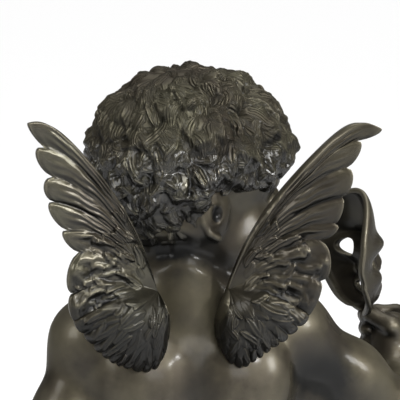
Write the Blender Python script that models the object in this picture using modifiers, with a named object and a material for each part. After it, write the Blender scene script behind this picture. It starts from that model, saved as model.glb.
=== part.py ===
"""Winged cupid holding a theatre mask, a table bronze on a low turned base.

The figure looks along -Y with its left hand towards +X. The centre of the
base's underside is the origin and +Z is up. Lengths of the figure are given in
parts: one part is a hundredth of the height from soles to crown.
"""
import math

import bmesh
import bpy
import numpy as np
from mathutils import Matrix, Vector

# Sizes in metres that are set by themselves
FIGURE_HEIGHT = 0.52
JOINT_GAP = 0.0003
MASK_WALL = 0.0026
WING_EDGE = 0.0022
BASE_RADIUS = 0.094
BASE_HEIGHT = 0.034
PART = FIGURE_HEIGHT / 100.0

# Turned base, from its top edge down: shares of its radius and height
BASE_STEPS = 36
BASE_PROFILE = [
    (0.90, 1.00), (0.92, 0.92), (0.92, 0.76), (0.87, 0.66), (0.86, 0.52),
    (0.90, 0.36), (0.97, 0.30), (1.00, 0.22), (1.00, 0.00),
]

# Figure, in parts of its height: head, limbs, cloth and hair
HEAD_AT = (0.0, -0.9, 88.6)
HEAD_TURN, HEAD_NOD = -76.0, 4.0
SHOULDER_L, ELBOW_L = (9.6, 0.8, 74.6), (14.0, 1.8, 61.0)
SHOULDER_R, ELBOW_R, WRIST_R = (-9.4, 0.2, 75.2), (-21.6, -4.8, 65.8), (-21.4, -10.2, 70.0)
FIST_FROM_WRIST = (0.2, -1.4, 2.6)
HIP_L, KNEE_L, ANKLE_L = (4.3, 0.6, 39.5), (4.9, -0.6, 22.5), (4.5, 1.0, 5.0)
HIP_R, KNEE_R, ANKLE_R = (-4.1, 0.4, 39.0), (-6.4, -3.6, 23.0), (-7.4, 0.4, 5.0)
HEEL_L, TOE_L = (4.4, 2.0, 0.0), (6.2, -8.0, 0.0)
HEEL_R, TOE_R = (-7.4, 1.4, 0.0), (-11.0, -7.6, 0.0)
ARM_RADIUS = 2.9

SKIRT_TOP, SKIRT_HEM, HEM_SLANT = 48.5, 31.5, 3.6
SKIRT_FOLDS = 15
FOLD_DEPTH = 1.25
KNOT_AT = (8.6, -3.6, SKIRT_TOP - 1.5)
PALM_FROM_KNOT, WRIST_FROM_KNOT = (2.3, -2.0, 0.8), (4.0, 0.4, 4.2)

CURLS = 120
HAIR_SHARE = 0.62
CURL_RADIUS = 1.5
HAIR_CENTRE, HAIR_RADII = (0.0, -0.1, 2.1), (6.7, 8.2, 7.3)
NAPE_LENGTH = 10.4
HAIRLINE = [
    (-9.5, 3.2), (-7.6, 1.8), (-5.6, 0.2), (-3.2, -0.5), (-1.9, -0.6), (-0.6, 0.0),
    (0.6, -0.8), (1.5, -3.6), (2.6, -5.2), (5.0, -5.9), (10.0, -6.6),
]

# Mask, in parts too; its chin stands in the fist
MASK_FROM_FIST = (3.0, 0.6, 8.2)
MASK_TURN, MASK_LEAN, MASK_ROLL = -73.0, -5.0, -12.0
MASK_HALF_WIDTH, MASK_HALF_HEIGHT = 4.5, 6.3
MASK_DOME, MASK_WRAP, MASK_JAW = 1.35, 2.2, 0.25
MASK_EYE, MASK_EYE_HALF = (2.25, -0.25), (0.85, 0.9)
MASK_MOUTH, MASK_MOUTH_HALF = (0.0, -3.7), (1.3, 0.5)

# Wings, in parts too: (distance out from the wings' middle line, height). The rim of
# the long vanes goes notch, lobe, notch, lobe; the fan below starts with its vane.
WINGS_MIDDLE = 1.1
WING_POLE = (3.2, 80.0)
VANES, LONG_VANES = 19, 7
RIM_LEFT = [
    (14.8, 95.3), (15.2, 95.0), (13.8, 93.3), (14.5, 92.4), (13.0, 90.7), (13.8, 89.7), (12.8, 88.5), (13.2, 87.5),
    (11.6, 85.9), (11.9, 85.1), (10.5, 83.9), (11.6, 81.7), (10.8, 80.3), (11.4, 79.0), (10.4, 77.4),
]
FAN_LEFT = [(9, 9.2, 75.4), (11, 7.7, 74.0), (13.5, 6.0, 73.1), (15.5, 4.0, 72.6),
            (17, 2.7, 73.3), (18.2, 2.0, 75.4), (19, 1.9, 77.0)]
RIM_RIGHT = [
    (14.9, 94.7), (15.5, 94.3), (13.7, 93.5), (13.9, 92.5), (12.9, 91.1), (13.4, 89.9), (12.6, 88.5), (12.6, 87.1),
    (12.0, 86.1), (12.1, 85.3), (10.8, 84.6), (11.8, 82.6), (11.0, 80.9), (10.8, 79.1), (9.8, 77.5),
]
FAN_RIGHT = [(9, 8.6, 75.8), (11, 7.1, 74.6), (13.5, 5.6, 73.4), (15.5, 4.3, 72.8),
             (17, 3.1, 73.7), (18.2, 2.4, 75.5), (19, 2.3, 76.9)]
ARCH_LEFT, ARCH_RIGHT = 0.8, 1.15
SHAFT_SHARE, SHAFT_LIFT, LIFTED_VANES = (0.28, 0.5), 6.8, 10
WING_BEHIND, WING_SWEEP, WING_RISE = 7.2, 0.35, 0.12
LOBE_PUFF = 1.9
FAN_SCALLOP = 0.045
WING_SEAT, SEAT_REACH, SEAT_SPREAD = (4.5, 77.1), 4.2, 2.6

# Fineness of the solids
CLAY_VOXEL = 0.5
STEPS_PER_VANE, STEPS_ALONG_VANE = 3, 10
MASK_RINGS, MASK_SPOKES = 10, 32
WELD = 1e-5
FIGURE_TRIANGLES, WING_TRIANGLES, MASK_TRIANGLES = 5640, 1100, 560


# Clay toolkit
def turned(degrees):
    """Rotation matrix from three angles about X, Y and Z."""
    x, y, z = (math.radians(a) for a in degrees)
    m = Matrix.Rotation(z, 3, "Z") @ Matrix.Rotation(y, 3, "Y") @ Matrix.Rotation(x, 3, "X")
    return np.array(m)


def balls_and_bars():
    """Unit sphere and unit bar that every lump of clay is roughed out with."""
    out = []
    for kind in ("ball", "bar"):
        bm = bmesh.new()
        if kind == "ball":
            bmesh.ops.create_icosphere(bm, subdivisions=3, radius=1.0)
        else:
            bmesh.ops.create_cone(bm, segments=20, radius1=1, radius2=1, depth=2, cap_ends=True)
        bm.verts.ensure_lookup_table()
        out.append((np.array([v.co[:] for v in bm.verts]), [[v.index for v in f.verts] for f in bm.faces]))
        bm.free()
    return out


class Clay:
    """Lumps pressed on one after another, each blended into those before it."""

    def __init__(self):
        self.lumps = []
        self.turn = np.eye(3)
        self.at = np.zeros(3)

    def stand(self, at=(0, 0, 0), turn=None):
        self.at = np.array(at, float)
        self.turn = np.eye(3) if turn is None else turn

    def place(self, point):
        return self.turn @ np.array(point, float) + self.at

    def ball(self, centre, radii, blend=1.0, turn=(0, 0, 0), cut=False):
        radii = np.array(radii if hasattr(radii, "__len__") else (radii,) * 3, float)
        self.lumps.append(("ball", self.place(centre), radii, self.turn @ turned(turn), blend, cut))

    def limb(self, start, end, r0, r1, blend=1.0, cut=False):
        self.lumps.append(("limb", self.place(start), self.place(end), (r0, r1), blend, cut))

    def path(self, points, radii, blend=0.5, cut=False):
        for i in range(len(points) - 1):
            self.limb(points[i], points[i + 1], radii[i], radii[i + 1], blend, cut)

    def ball_pair(self, centre, radii, blend=1.0, turn=(0, 0, 0), cut=False):
        for s in (1, -1):
            self.ball((s * centre[0], centre[1], centre[2]), radii, blend,
                      (turn[0], s * turn[1], s * turn[2]), cut)

    def limb_pair(self, start, end, r0, r1, blend=1.0):
        for s in (1, -1):
            self.limb((s * start[0], start[1], start[2]), (s * end[0], end[1], end[2]), r0, r1, blend)

    def skirt(self, blend=0.8):
        self.lumps.append(("skirt", None, None, None, blend, False))


def skirt_shape(p):
    """Hanging cloth: an oval cone with folds that deepen towards a slanting hem."""
    angle = np.arctan2(p[:, 1], p[:, 0])
    hem = SKIRT_HEM - HEM_SLANT * np.cos(angle - 0.5)
    t = np.clip((SKIRT_TOP - p[:, 2]) / (SKIRT_TOP - hem), 0.0, 1.2)
    wave = SKIRT_FOLDS * angle + 1.3 * np.sin(2 * angle + 0.6) + 0.9 * t * np.sin(3 * angle)
    fold = np.abs(np.sin(wave / 2)) ** 0.8 - 0.55
    fold = fold + 0.35 * np.sin(angle * 4 + 1.0)
    grow = FOLD_DEPTH * np.clip(t, 0.08, 1.0) * fold
    a = 8.5 + 2.3 * t + grow
    b = 6.9 + 1.7 * t + grow
    k = np.sqrt((p[:, 0] / a) ** 2 + (p[:, 1] / b) ** 2)
    side = (k - 1.0) * 7.4
    return np.maximum(np.maximum(side, p[:, 2] - SKIRT_TOP), hem - p[:, 2])


def lump_distance(lump, p):
    if lump[0] == "ball":
        q = (p - lump[1]) @ lump[3]
        k0 = np.sqrt(((q / lump[2]) ** 2).sum(1))
        k1 = np.sqrt(((q / lump[2] ** 2) ** 2).sum(1)) + 1e-9
        return k0 * (k0 - 1.0) / k1
    if lump[0] == "skirt":
        return skirt_shape(p)
    a, b, (ra, rb) = lump[1:4]
    ab = b - a
    t = np.clip(((p - a) @ ab) / (ab @ ab), 0, 1)
    return np.sqrt(((p - a - t[:, None] * ab) ** 2).sum(1)) - (ra + (rb - ra) * t)


def reach(lump):
    """Ball outside which a lump changes nothing."""
    if lump[0] == "ball":
        return lump[1], float(lump[2].max()) + lump[4] + 1.6
    if lump[0] == "limb":
        half = float(np.linalg.norm(lump[2] - lump[1])) / 2
        return (lump[1] + lump[2]) / 2, half + max(lump[3]) + lump[4] + 1.6
    return np.array((0.0, 0.0, 39.0)), 24.0


def clay_distance(lumps, p):
    """Signed distance to the blended clay; the soles stand on the plane z = 0."""
    d = np.full(len(p), 9.0)
    for lump in lumps:
        centre, radius = reach(lump)
        near = np.nonzero(((p - centre) ** 2).sum(1) < radius * radius)[0]
        if not len(near):
            continue
        e, old, blend = lump_distance(lump, p[near]), d[near], lump[4]
        if lump[5]:
            h = np.clip(0.5 - 0.5 * (old + e) / blend, 0, 1)
            d[near] = old + (-e - old) * h + blend * h * (1 - h)
        else:
            h = np.clip(0.5 + 0.5 * (e - old) / blend, 0, 1)
            d[near] = e + (old - e) * h - blend * h * (1 - h)
    return np.maximum(d, -p[:, 2])


def pulled(lumps, p, times=5, eps=0.02, most=0.5):
    """Points moved onto the clay's surface."""
    steps = eps * np.eye(3)
    for _ in range(times):
        d = clay_distance(lumps, p)
        g = np.stack([clay_distance(lumps, p + s) - d for s in steps], 1) / eps
        n = np.maximum((g * g).sum(1), 0.05)
        p = p - np.clip(d / n, -most, most)[:, None] * g
    return p


def roughed_out(lumps):
    """Closed overlapping solids, one for each lump, as a start for the remesh."""
    (ball, ball_faces), (bar, bar_faces) = balls_and_bars()
    points, faces, count = [], [], 0

    def add(co, fs):
        nonlocal count
        points.append(co)
        faces.extend([[i + count for i in f] for f in fs])
        count += len(co)

    for lump in lumps:
        if lump[5]:
            so_far = np.concatenate(points)
            inside = lump_distance(lump, so_far) < 0
            q = so_far[inside]
            if len(q):
                for _ in range(6):
                    d = lump_distance(lump, q)
                    g = np.stack([lump_distance(lump, q + s) - d for s in 0.02 * np.eye(3)], 1) / 0.02
                    q = q - (d / np.maximum((g * g).sum(1), 0.05))[:, None] * g
                so_far[inside] = q
            points = [so_far]
        elif lump[0] == "ball":
            add((ball * lump[2]) @ lump[3].T + lump[1], ball_faces)
        elif lump[0] == "skirt":
            co = bar.copy()
            low = co[:, 2] < 0
            co[:, 0] *= np.where(low, 10.4, 8.5)
            co[:, 1] *= np.where(low, 8.4, 6.9)
            hem = SKIRT_HEM - HEM_SLANT * np.cos(np.arctan2(co[:, 1], co[:, 0]) - 0.5)
            co[:, 2] = np.where(low, hem, SKIRT_TOP)
            add(co, bar_faces)
        else:
            a, b, (ra, rb) = lump[1:4]
            frame = np.array(Vector(b - a).to_track_quat("Z", "Y").to_matrix())
            co = bar.copy()
            co[:, :2] *= np.where(co[:, 2] > 0, rb, ra)[:, None]
            co[:, 2] *= np.linalg.norm(b - a) / 2
            add(co @ frame.T + (a + b) / 2, bar_faces)
            add(ball * ra + a, ball_faces)
            add(ball * rb + b, ball_faces)
    co = np.concatenate(points)
    co[:, 2] = np.maximum(co[:, 2], 0.0)
    mesh = bpy.data.meshes.new("rough")
    mesh.from_pydata(co.tolist(), [], faces)
    return mesh


def baked(mesh, kind, **settings):
    """Mesh after one modifier."""
    ob = bpy.data.objects.new("bake", mesh)
    bpy.context.scene.collection.objects.link(ob)
    mod = ob.modifiers.new(kind, kind)
    for key, value in settings.items():
        setattr(mod, key, value)
    graph = bpy.context.evaluated_depsgraph_get()
    out = bpy.data.meshes.new_from_object(ob.evaluated_get(graph))
    bpy.data.objects.remove(ob)
    return out


def mesh_points(mesh):
    co = np.empty(len(mesh.vertices) * 3)
    mesh.vertices.foreach_get("co", co)
    return co.reshape(-1, 3)


def set_points(mesh, points):
    mesh.vertices.foreach_set("co", points.astype(np.float32).ravel())
    mesh.update()


def modelled(lumps, voxel):
    """Skin over the lumps, remeshed and drawn onto the blended surface."""
    mesh = baked(roughed_out(lumps), "REMESH", mode="VOXEL", voxel_size=voxel)
    set_points(mesh, pulled(lumps, mesh_points(mesh)))
    return mesh


# Figure
def along(a, b, t):
    return tuple(a[i] + (b[i] - a[i]) * t for i in range(3))


def moved(a, b):
    return tuple(a[i] + b[i] for i in range(3))


def torso(c):
    c.ball((0, 0.4, 43.5), (8.2, 6.2, 6.4))
    c.ball((0, -1.5, 51.8), (8.0, 6.8, 7.6), blend=3)
    c.ball((0.2, 0.2, 62.5), (8.3, 6.3, 10.5), blend=4)
    c.stand((0.4, 0.0, 0.0))
    c.ball_pair((4.9, 0.6, 69.0), (4.7, 5.2, 7.2), blend=3)
    c.ball((0, 0.9, 72.0), (8.6, 5.5, 5.6), blend=3)
    c.ball_pair((4.0, -3.6, 68.6), (3.9, 2.3, 3.0), blend=2.2)
    c.ball_pair((5.0, 4.3, 71.0), (3.4, 2.0, 4.6), blend=2, turn=(0, 12, 0))
    c.limb_pair((1.6, 2.0, 79.2), (8.4, 1.2, 76.2), 2.7, 2.4, blend=2.5)
    c.stand()
    c.ball_pair((3.7, 2.9, 41.4), (4.0, 3.5, 4.4), blend=1.2)
    c.limb((-7.6, -0.4, 69.6), (-16.0, -3.6, 66.2), 3.6, 2.9, blend=1.2)


def leg(c, hip, knee, ankle, heel, toe, side):
    hip, knee, ankle, heel, toe = (np.array(v, float) for v in (hip, knee, ankle, heel, toe))
    c.limb(hip, knee, 5.3, 3.6, blend=2.0)
    c.ball(hip * 0.45 + knee * 0.55 + (side * 0.7, -0.3, 0), (4.4, 4.5, 6.0), blend=2)
    c.ball(knee + (0, -0.9, 0.2), (3.0, 2.7, 3.0), blend=1.5)
    c.limb(knee, ankle, 3.3, 2.1, blend=1.4)
    c.ball(knee * 0.62 + ankle * 0.38 + (side * 0.3, 1.1, 0), (3.1, 3.0, 5.4), blend=1.8)
    c.ball(heel + (0, 0.2, 1.9), (2.0, 2.2, 1.9), blend=1.2)
    way = (toe - heel) / np.linalg.norm(toe - heel)
    across = np.array((way[1], -way[0], 0)) * -side
    tread = heel + way * 6.4
    c.limb(ankle + (0, 0, 0.3), tread + (0, 0, 1.6), 2.1, 1.5, blend=1.6)
    c.limb(heel + (0, 0, 1.4), tread + across * 1.0 + (0, 0, 1.1), 1.5, 1.2, blend=1.2)
    c.limb(heel + (0, 0, 1.4), tread - across * 0.9 + (0, 0, 1.3), 1.4, 1.4, blend=1.2)
    for i, (r, long) in enumerate(((1.0, 2.5), (0.76, 2.5), (0.7, 2.2), (0.64, 1.8), (0.58, 1.3))):
        root = tread + across * (-1.65 + 0.86 * i) + way * 0.2 + (0, 0, r + 0.15)
        c.limb(root, root + way * long + (0, 0, -0.12), r * 0.92, r, blend=0.35)


def arm(c, shoulder, elbow, wrist, r):
    c.ball(shoulder, r * 1.12, blend=2.5)
    c.limb(shoulder, elbow, r, r * 0.86, blend=2.0)
    c.ball(along(shoulder, elbow, 0.5), r * 1.0, blend=2.0)
    c.limb(elbow, wrist, r * 0.86, r * 0.62, blend=1.6)
    c.ball(along(elbow, wrist, 0.3), r * 0.92, blend=1.8)


def head_frame():
    turn = Matrix.Rotation(math.radians(HEAD_TURN), 3, "Z") @ Matrix.Rotation(math.radians(HEAD_NOD), 3, "X")
    return np.array(turn)


def head(c):
    c.limb((0.4, 0.9, 77), (0.2, -0.2, 84.5), 4.4, 4.3, blend=2.2)
    c.limb((0.4, 0.5, 79.5), (0.6, 1.0, 85.0), 4.4, 4.9, blend=1.2)
    c.stand(HEAD_AT, head_frame())
    c.ball((0, 0.8, 2.0), (7.0, 8.0, 7.7), blend=1.5)
    c.ball((0, -3.0, 2.0), (5.9, 5.4, 5.6), blend=1.5)
    c.ball((0, -2.6, -3.4), (5.0, 5.0, 5.6), blend=1.5)
    c.ball_pair((3.1, -4.7, -4.2), (2.3, 2.4, 2.6), blend=1.4)
    c.ball_pair((3.4, -1.6, -5.2), (2.3, 3.2, 2.6), blend=1.4)
    c.ball((0, -5.6, -8.0), (2.0, 1.7, 1.5), blend=1.2)
    c.ball((0, -3.4, -8.0), (3.0, 2.8, 1.6), blend=1.4)
    c.ball_pair((2.7, -8.1, -1.1), (1.7, 1.5, 1.1), blend=1.0, turn=(0, 0, 14), cut=True)
    c.ball_pair((2.6, -6.1, -1.15), (1.5, 1.35, 1.2), blend=0.3)
    c.limb_pair((1.1, -7.75, 0.75), (4.4, -6.2, 0.9), 0.45, 0.4, blend=1.1)
    c.limb((0, -7.7, -0.4), (0, -8.7, -3.4), 0.6, 0.85, blend=0.9)
    c.ball_pair((0.9, -8.0, -3.75), (0.6, 0.75, 0.55), blend=0.5)
    c.ball_pair((0.7, -7.45, -5.45), (1.05, 0.7, 0.4), blend=0.4, turn=(0, 12, 14))
    c.ball((0, -7.35, -6.2), (1.15, 0.7, 0.48), blend=0.4)
    for s in (1, -1):
        ear(c, s)
    curls(c)
    c.stand()
    crease = [(5.2, 2.4, 82.2), (3.8, 4.6, 83.0), (1.8, 5.9, 83.4), (-0.5, 6.0, 82.8), (-2.8, 4.9, 81.3)]
    c.path(crease, (0.3, 0.5, 0.55, 0.5, 0.3), blend=1.0, cut=True)


def ear(c, s):
    """Rim, lobe and the hollow inside, laid against the skull under the curls."""
    ring = [(-0.3, -0.9), (-0.2, 0.5), (0.6, 1.3), (1.5, 1.2), (1.9, 0.2), (1.6, -1.1), (0.9, -2.0), (0.2, -2.4)]
    rim = [(s * (6.5 + 0.12 * i), -0.3 + y, -1.9 + z) for i, (y, z) in enumerate(ring)]
    c.ball((s * 6.2, 0.3, -2.2), (0.8, 1.6, 2.0), blend=0.6)
    c.path(rim, (0.32, 0.34, 0.36, 0.38, 0.38, 0.4, 0.46, 0.48), blend=0.25)
    c.ball((s * 7.1, 0.1, -2.1), (0.7, 0.6, 0.9), blend=0.4, cut=True)


def curls(c):
    """Tufts spread over the skull by the golden angle, wherever hair grows."""
    ys, zs = zip(*HAIRLINE)
    total = int(CURLS / HAIR_SHARE)
    for i in range(total):
        h = 1 - 2 * (i + 0.5) / total
        ring, a = math.sqrt(1 - h * h), i * math.pi * (3 - math.sqrt(5)) + 0.13 * math.sin(5.3 * i)
        n = np.array((ring * math.cos(a), ring * math.sin(a), h))
        radii = np.array((HAIR_RADII[0], HAIR_RADII[1], HAIR_RADII[2] if h > 0 else NAPE_LENGTH))
        p = np.array(HAIR_CENTRE) + radii * n
        if p[2] < np.interp(p[1], ys, zs) + 0.7:
            continue
        size = CURL_RADIUS * (1.0 + 0.16 * math.sin(12.9 * i)) * (0.75 if p[2] < -1.0 else 1.0)
        lift = 0.1 + 0.35 * math.sin(7.7 * i)
        c.ball(p + n * lift, (size, size, size * 0.92), blend=0.32, turn=(40 * math.sin(3.1 * i), 0, 0))


def right_hand(c):
    """Fist closed round an upright chin: four stacked fingers and a thumb."""
    x, y, z = moved(WRIST_R, FIST_FROM_WRIST)
    c.ball((x - 0.4, y + 0.5, z - 0.2), (1.9, 2.1, 2.5), blend=1.4)
    c.limb(WRIST_R, (x - 0.3, y + 0.6, z - 0.6), 1.8, 2.0, blend=1.2)
    for k in range(4):
        level, r = z + 1.9 - 1.28 * k, 0.78 - 0.04 * k
        spread = 2.15 - 0.06 * k
        turn = [(x + spread * math.cos(math.radians(a)), y + spread * math.sin(math.radians(a)), level)
                for a in (190, 235, 285, 330, 10)]
        c.path(turn, (r, r * 1.02, r, r * 0.96, r * 0.9), blend=0.3)
    c.path([(x - 1.4, y + 1.6, z - 0.6), (x + 0.2, y + 2.3, z + 1.2), (x + 1.9, y + 1.2, z + 2.2)],
           (1.0, 0.85, 0.78), blend=0.4)


def left_hand(c):
    """Hand laid on the knot of the cloth."""
    x, y, z = moved(KNOT_AT, PALM_FROM_KNOT)
    c.limb(moved(KNOT_AT, WRIST_FROM_KNOT), (x, y, z), 1.7, 1.8, blend=1.2)
    c.ball((x, y, z), (1.5, 2.3, 2.1), blend=1.0)
    for k in range(4):
        fy = y + 1.6 - 1.25 * k
        knuckle, middle = (x - 0.25 * k, fy, z - 0.6), (x - 0.3 - 0.45 * k, fy - 0.5, z - 2.9)
        c.path([knuckle, middle, (x - 1.3 - 0.55 * k, fy - 0.6, z - 4.2)], (0.8, 0.76, 0.68), blend=0.3)
    c.path([(x + 0.3, y - 1.2, z + 1.0), (x - 1.5, y - 2.6, z + 0.4), (x - 2.9, y - 2.7, z - 0.4)],
           (0.85, 0.8, 0.7), blend=0.4)


def drapery(c):
    """Cloth round the hips with a rolled upper edge, a knot and two tails."""
    c.skirt()
    steps = 26
    ring = []
    for i in range(steps + 1):
        a = 2 * math.pi * i / steps
        ring.append((8.6 * math.cos(a), 7.1 * math.sin(a) - 0.2, 47.6 - 1.1 * math.cos(a - 0.5)))
    for k in range(2):
        rope = []
        for i, (x, y, z) in enumerate(ring):
            twist = 2 * math.pi * (i / steps * 9 + k / 2)
            push = 1 + 0.055 * math.cos(twist)
            rope.append((x * push, y * push, z + 0.62 * math.sin(twist)))
        c.path(rope, [1.0] * (steps + 1), blend=0.35)
    kx, ky, kz = KNOT_AT
    c.ball((kx, ky, kz), (1.9, 2.0, 2.1), blend=0.5)
    for k, (dx, dy, drop) in enumerate(((0.8, -0.6, 13.5), (0.3, -2.6, 10.5))):
        for f in range(3):
            top = (kx + 0.4 + 0.2 * f, ky - 0.3 - 0.8 * f, kz - 1.2)
            low = (kx + dx + 1.5 - 0.3 * f, ky + dy - 1.25 * f, kz - drop + 0.9 * f)
            c.path([top, along(top, low, 0.5), low], (0.6, 0.9, 1.05), blend=0.35)


def figure_clay():
    c = Clay()
    drapery(c)
    torso(c)
    leg(c, HIP_L, KNEE_L, ANKLE_L, HEEL_L, TOE_L, 1)
    leg(c, HIP_R, KNEE_R, ANKLE_R, HEEL_R, TOE_R, -1)
    arm(c, SHOULDER_L, ELBOW_L, moved(KNOT_AT, WRIST_FROM_KNOT), ARM_RADIUS)
    arm(c, SHOULDER_R, ELBOW_R, WRIST_R, ARM_RADIUS)
    right_hand(c)
    left_hand(c)
    head(c)
    return c.lumps


# Wings
def soft(x, a, b):
    t = np.clip((x - a) / (b - a), 0, 1)
    return t * t * (3 - 2 * t)


def through(knots, x):
    """Smooth curve through the knots' second and third values, read at x."""
    k = np.array(knots, float)
    i = np.clip(np.searchsorted(k[:, 0], x, side="right") - 1, 0, len(k) - 2)
    slope = np.gradient(k[:, 1:], k[:, 0], axis=0)
    wide = (k[i + 1, 0] - k[i, 0])[:, None]
    t = ((x - k[i, 0])[:, None]) / wide
    ease = t * t * (3 - 2 * t)
    out = k[i, 1:] * (1 - ease) + k[i + 1, 1:] * ease
    return out + wide * (t * (1 - t) ** 2 * slope[i] - t * t * (1 - t) * slope[i + 1])


def rim_points(side, u, share):
    """A wing's rim twice: an even curve through the lobes, and the rim with its notches."""
    rim, fan = (RIM_LEFT, FAN_LEFT) if side > 0 else (RIM_RIGHT, FAN_RIGHT)
    lobes = [(k + 0.5, *rim[2 * k + 1]) for k in range(LONG_VANES)]
    even = through([(0, *rim[0])] + lobes + fan, u)
    rim = np.array(rim)
    k = np.clip(np.floor(u).astype(int), 0, LONG_VANES - 1)
    start, lobe, end = rim[2 * k], rim[2 * k + 1], rim[2 * k + 2]
    bow = np.sqrt(np.clip(1 - (2 * share - 1) ** 2, 0, 1))[:, None]
    s = share[:, None]
    lobed = start * (1 - s) + end * s + (lobe - (start + end) / 2) * bow
    scalloped = even + (np.array(WING_POLE) - even) * FAN_SCALLOP * (1 - bow)
    return even, np.where((u < LONG_VANES)[:, None], lobed, scalloped)


def wing_points(side, u, v, back):
    """Points of a wing: u counts vanes from the leading edge, v runs from pole to rim.

    side is 1 for the left wing and -1 for the right one; back is 1 on the sheet
    turned away from the body and 0 on the sheet next to it.
    """
    share = u - np.floor(np.minimum(u, VANES - 1e-6))
    long_vane = 1 - soft(u, LONG_VANES - 0.5, LONG_VANES + 0.5)
    lobe = soft(u, LONG_VANES - 1, LONG_VANES + 1.5)
    lead = (1 - soft(u, 0.6, 1.9)) * soft(v, 0.0, 0.2)

    tip, rim = rim_points(side, u, share)
    pole, w = np.array(WING_POLE), v[:, None]
    along_shaft = (SHAFT_SHARE[0] + (SHAFT_SHARE[1] - SHAFT_SHARE[0]) * soft(u, 0, LONG_VANES))[:, None]
    lift = SHAFT_LIFT * np.clip(1 - u / LIFTED_VANES, 0, 1) ** 1.3
    bend = pole + along_shaft * (tip - pole)
    bend[:, 1] += lift
    flat = pole * (1 - w) ** 2 + 2 * w * (1 - w) * bend + w ** 2 * tip
    flat = flat + (rim - tip) * soft(v, 0.5, 1.0)[:, None] ** 1.5
    arch = ARCH_LEFT if side > 0 else ARCH_RIGHT
    flat[:, 1] += arch * (1 - soft(u, 0.0, 1.6)) * np.sin(np.pi * v ** 5)
    out, up = flat[:, 0], flat[:, 1]
    behind = WING_BEHIND + WING_SWEEP * (out - WING_POLE[0]) + WING_RISE * (up - WING_POLE[1])

    ridge = np.sin(np.pi * share) ** 0.7 * soft(v, 0.12, 0.5)
    thick = WING_EDGE / PART + 0.8 * (1 - v) + 0.75 * lead * (1 - 0.75 * v) + lobe * np.sin(np.pi * v)
    away = thick / 2 + (0.3 + 0.16 * lobe) * ridge
    away = away + lobe * LOBE_PUFF * np.sin(np.pi * v ** 0.8) ** 0.8
    away = away + 0.22 * long_vane * (0.5 - share) * soft(v, 0.2, 0.6)
    near = -thick / 2 - 0.12 * ridge + 0.5 * lobe * np.sin(np.pi * v)
    seat = SEAT_REACH * np.exp(-((out - WING_SEAT[0]) ** 2 + (up - WING_SEAT[1]) ** 2) / SEAT_SPREAD)
    y = behind + np.where(back > 0.5, away, near - seat)
    return np.stack([WINGS_MIDDLE + side * out, y, up], 1)


def fan_slab(nu, nv):
    """Flat slab over the unit square: vane count along x, pole to rim along y."""
    bm = bmesh.new()
    bmesh.ops.create_grid(bm, x_segments=nu, y_segments=nv, size=0.5)
    bmesh.ops.solidify(bm, geom=bm.faces[:], thickness=0.1)
    mesh = bpy.data.meshes.new("slab")
    bm.to_mesh(mesh)
    bm.free()
    return mesh


def welded(mesh):
    """Doubled points merged and faces turned outward."""
    bm = bmesh.new()
    bm.from_mesh(mesh)
    bmesh.ops.remove_doubles(bm, verts=bm.verts[:], dist=WELD)
    bmesh.ops.dissolve_degenerate(bm, edges=bm.edges[:], dist=WELD)
    bmesh.ops.recalc_face_normals(bm, faces=bm.faces[:])
    bm.to_mesh(mesh)
    bm.free()
    return mesh


def wing_mesh(side):
    mesh = fan_slab(VANES * STEPS_PER_VANE, STEPS_ALONG_VANE)
    p = mesh_points(mesh)
    u = np.clip(p[:, 0] + 0.5, 0, 1) * VANES
    v = np.clip(p[:, 1] + 0.5, 0, 1)
    back = (p[:, 2] > p[:, 2].mean()).astype(float)
    set_points(mesh, wing_points(side, u, v, back))
    return welded(mesh)


# Mask
def bump(x, z, cx, cz, rx, rz):
    return np.exp(-((x - cx) / rx) ** 2 - ((z - cz) / rz) ** 2)


def mask_depth(x, z):
    """How far the face stands before its crown and chin; its sides wrap back round the head."""
    k = np.sqrt((x / MASK_HALF_WIDTH) ** 2 + (z / MASK_HALF_HEIGHT) ** 2)
    side = np.abs(x)
    eye_x, eye_z = MASK_EYE
    mouth_z = MASK_MOUTH[1]
    wrap = MASK_WRAP * (1 - 0.65 * soft(-z / MASK_HALF_HEIGHT, 0.05, 0.8))
    d = MASK_DOME * (1 - np.clip(k, 0, 1) ** 2.3) ** 0.62 - wrap * (x / MASK_HALF_WIDTH) ** 2
    d = d + 0.85 * bump(side, z, eye_x - 0.2, eye_z + 1.5, 1.5, 0.9)
    d = d + 1.1 * bump(x, z, 0, -1.5, 0.75, 0.9) + 0.7 * bump(x, z, 0, 0.1, 0.5, 1.3)
    d = d + 0.45 * bump(side, z, 0.8, -1.8, 0.45, 0.45)
    d = d + 0.75 * bump(side, z, 2.5, -2.1, 1.1, 1.1)
    d = d - 0.45 * bump(side, z, eye_x, eye_z, 1.2, 0.8)
    lips = np.sqrt((x / 2.2) ** 2 + ((z - mouth_z) / 1.05) ** 2)
    d = d + 0.6 * np.exp(-((lips - 1.0) / 0.28) ** 2)
    return d + 0.9 * bump(x, z, 0, mouth_z - 1.8, 1.7, 1.0)


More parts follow.
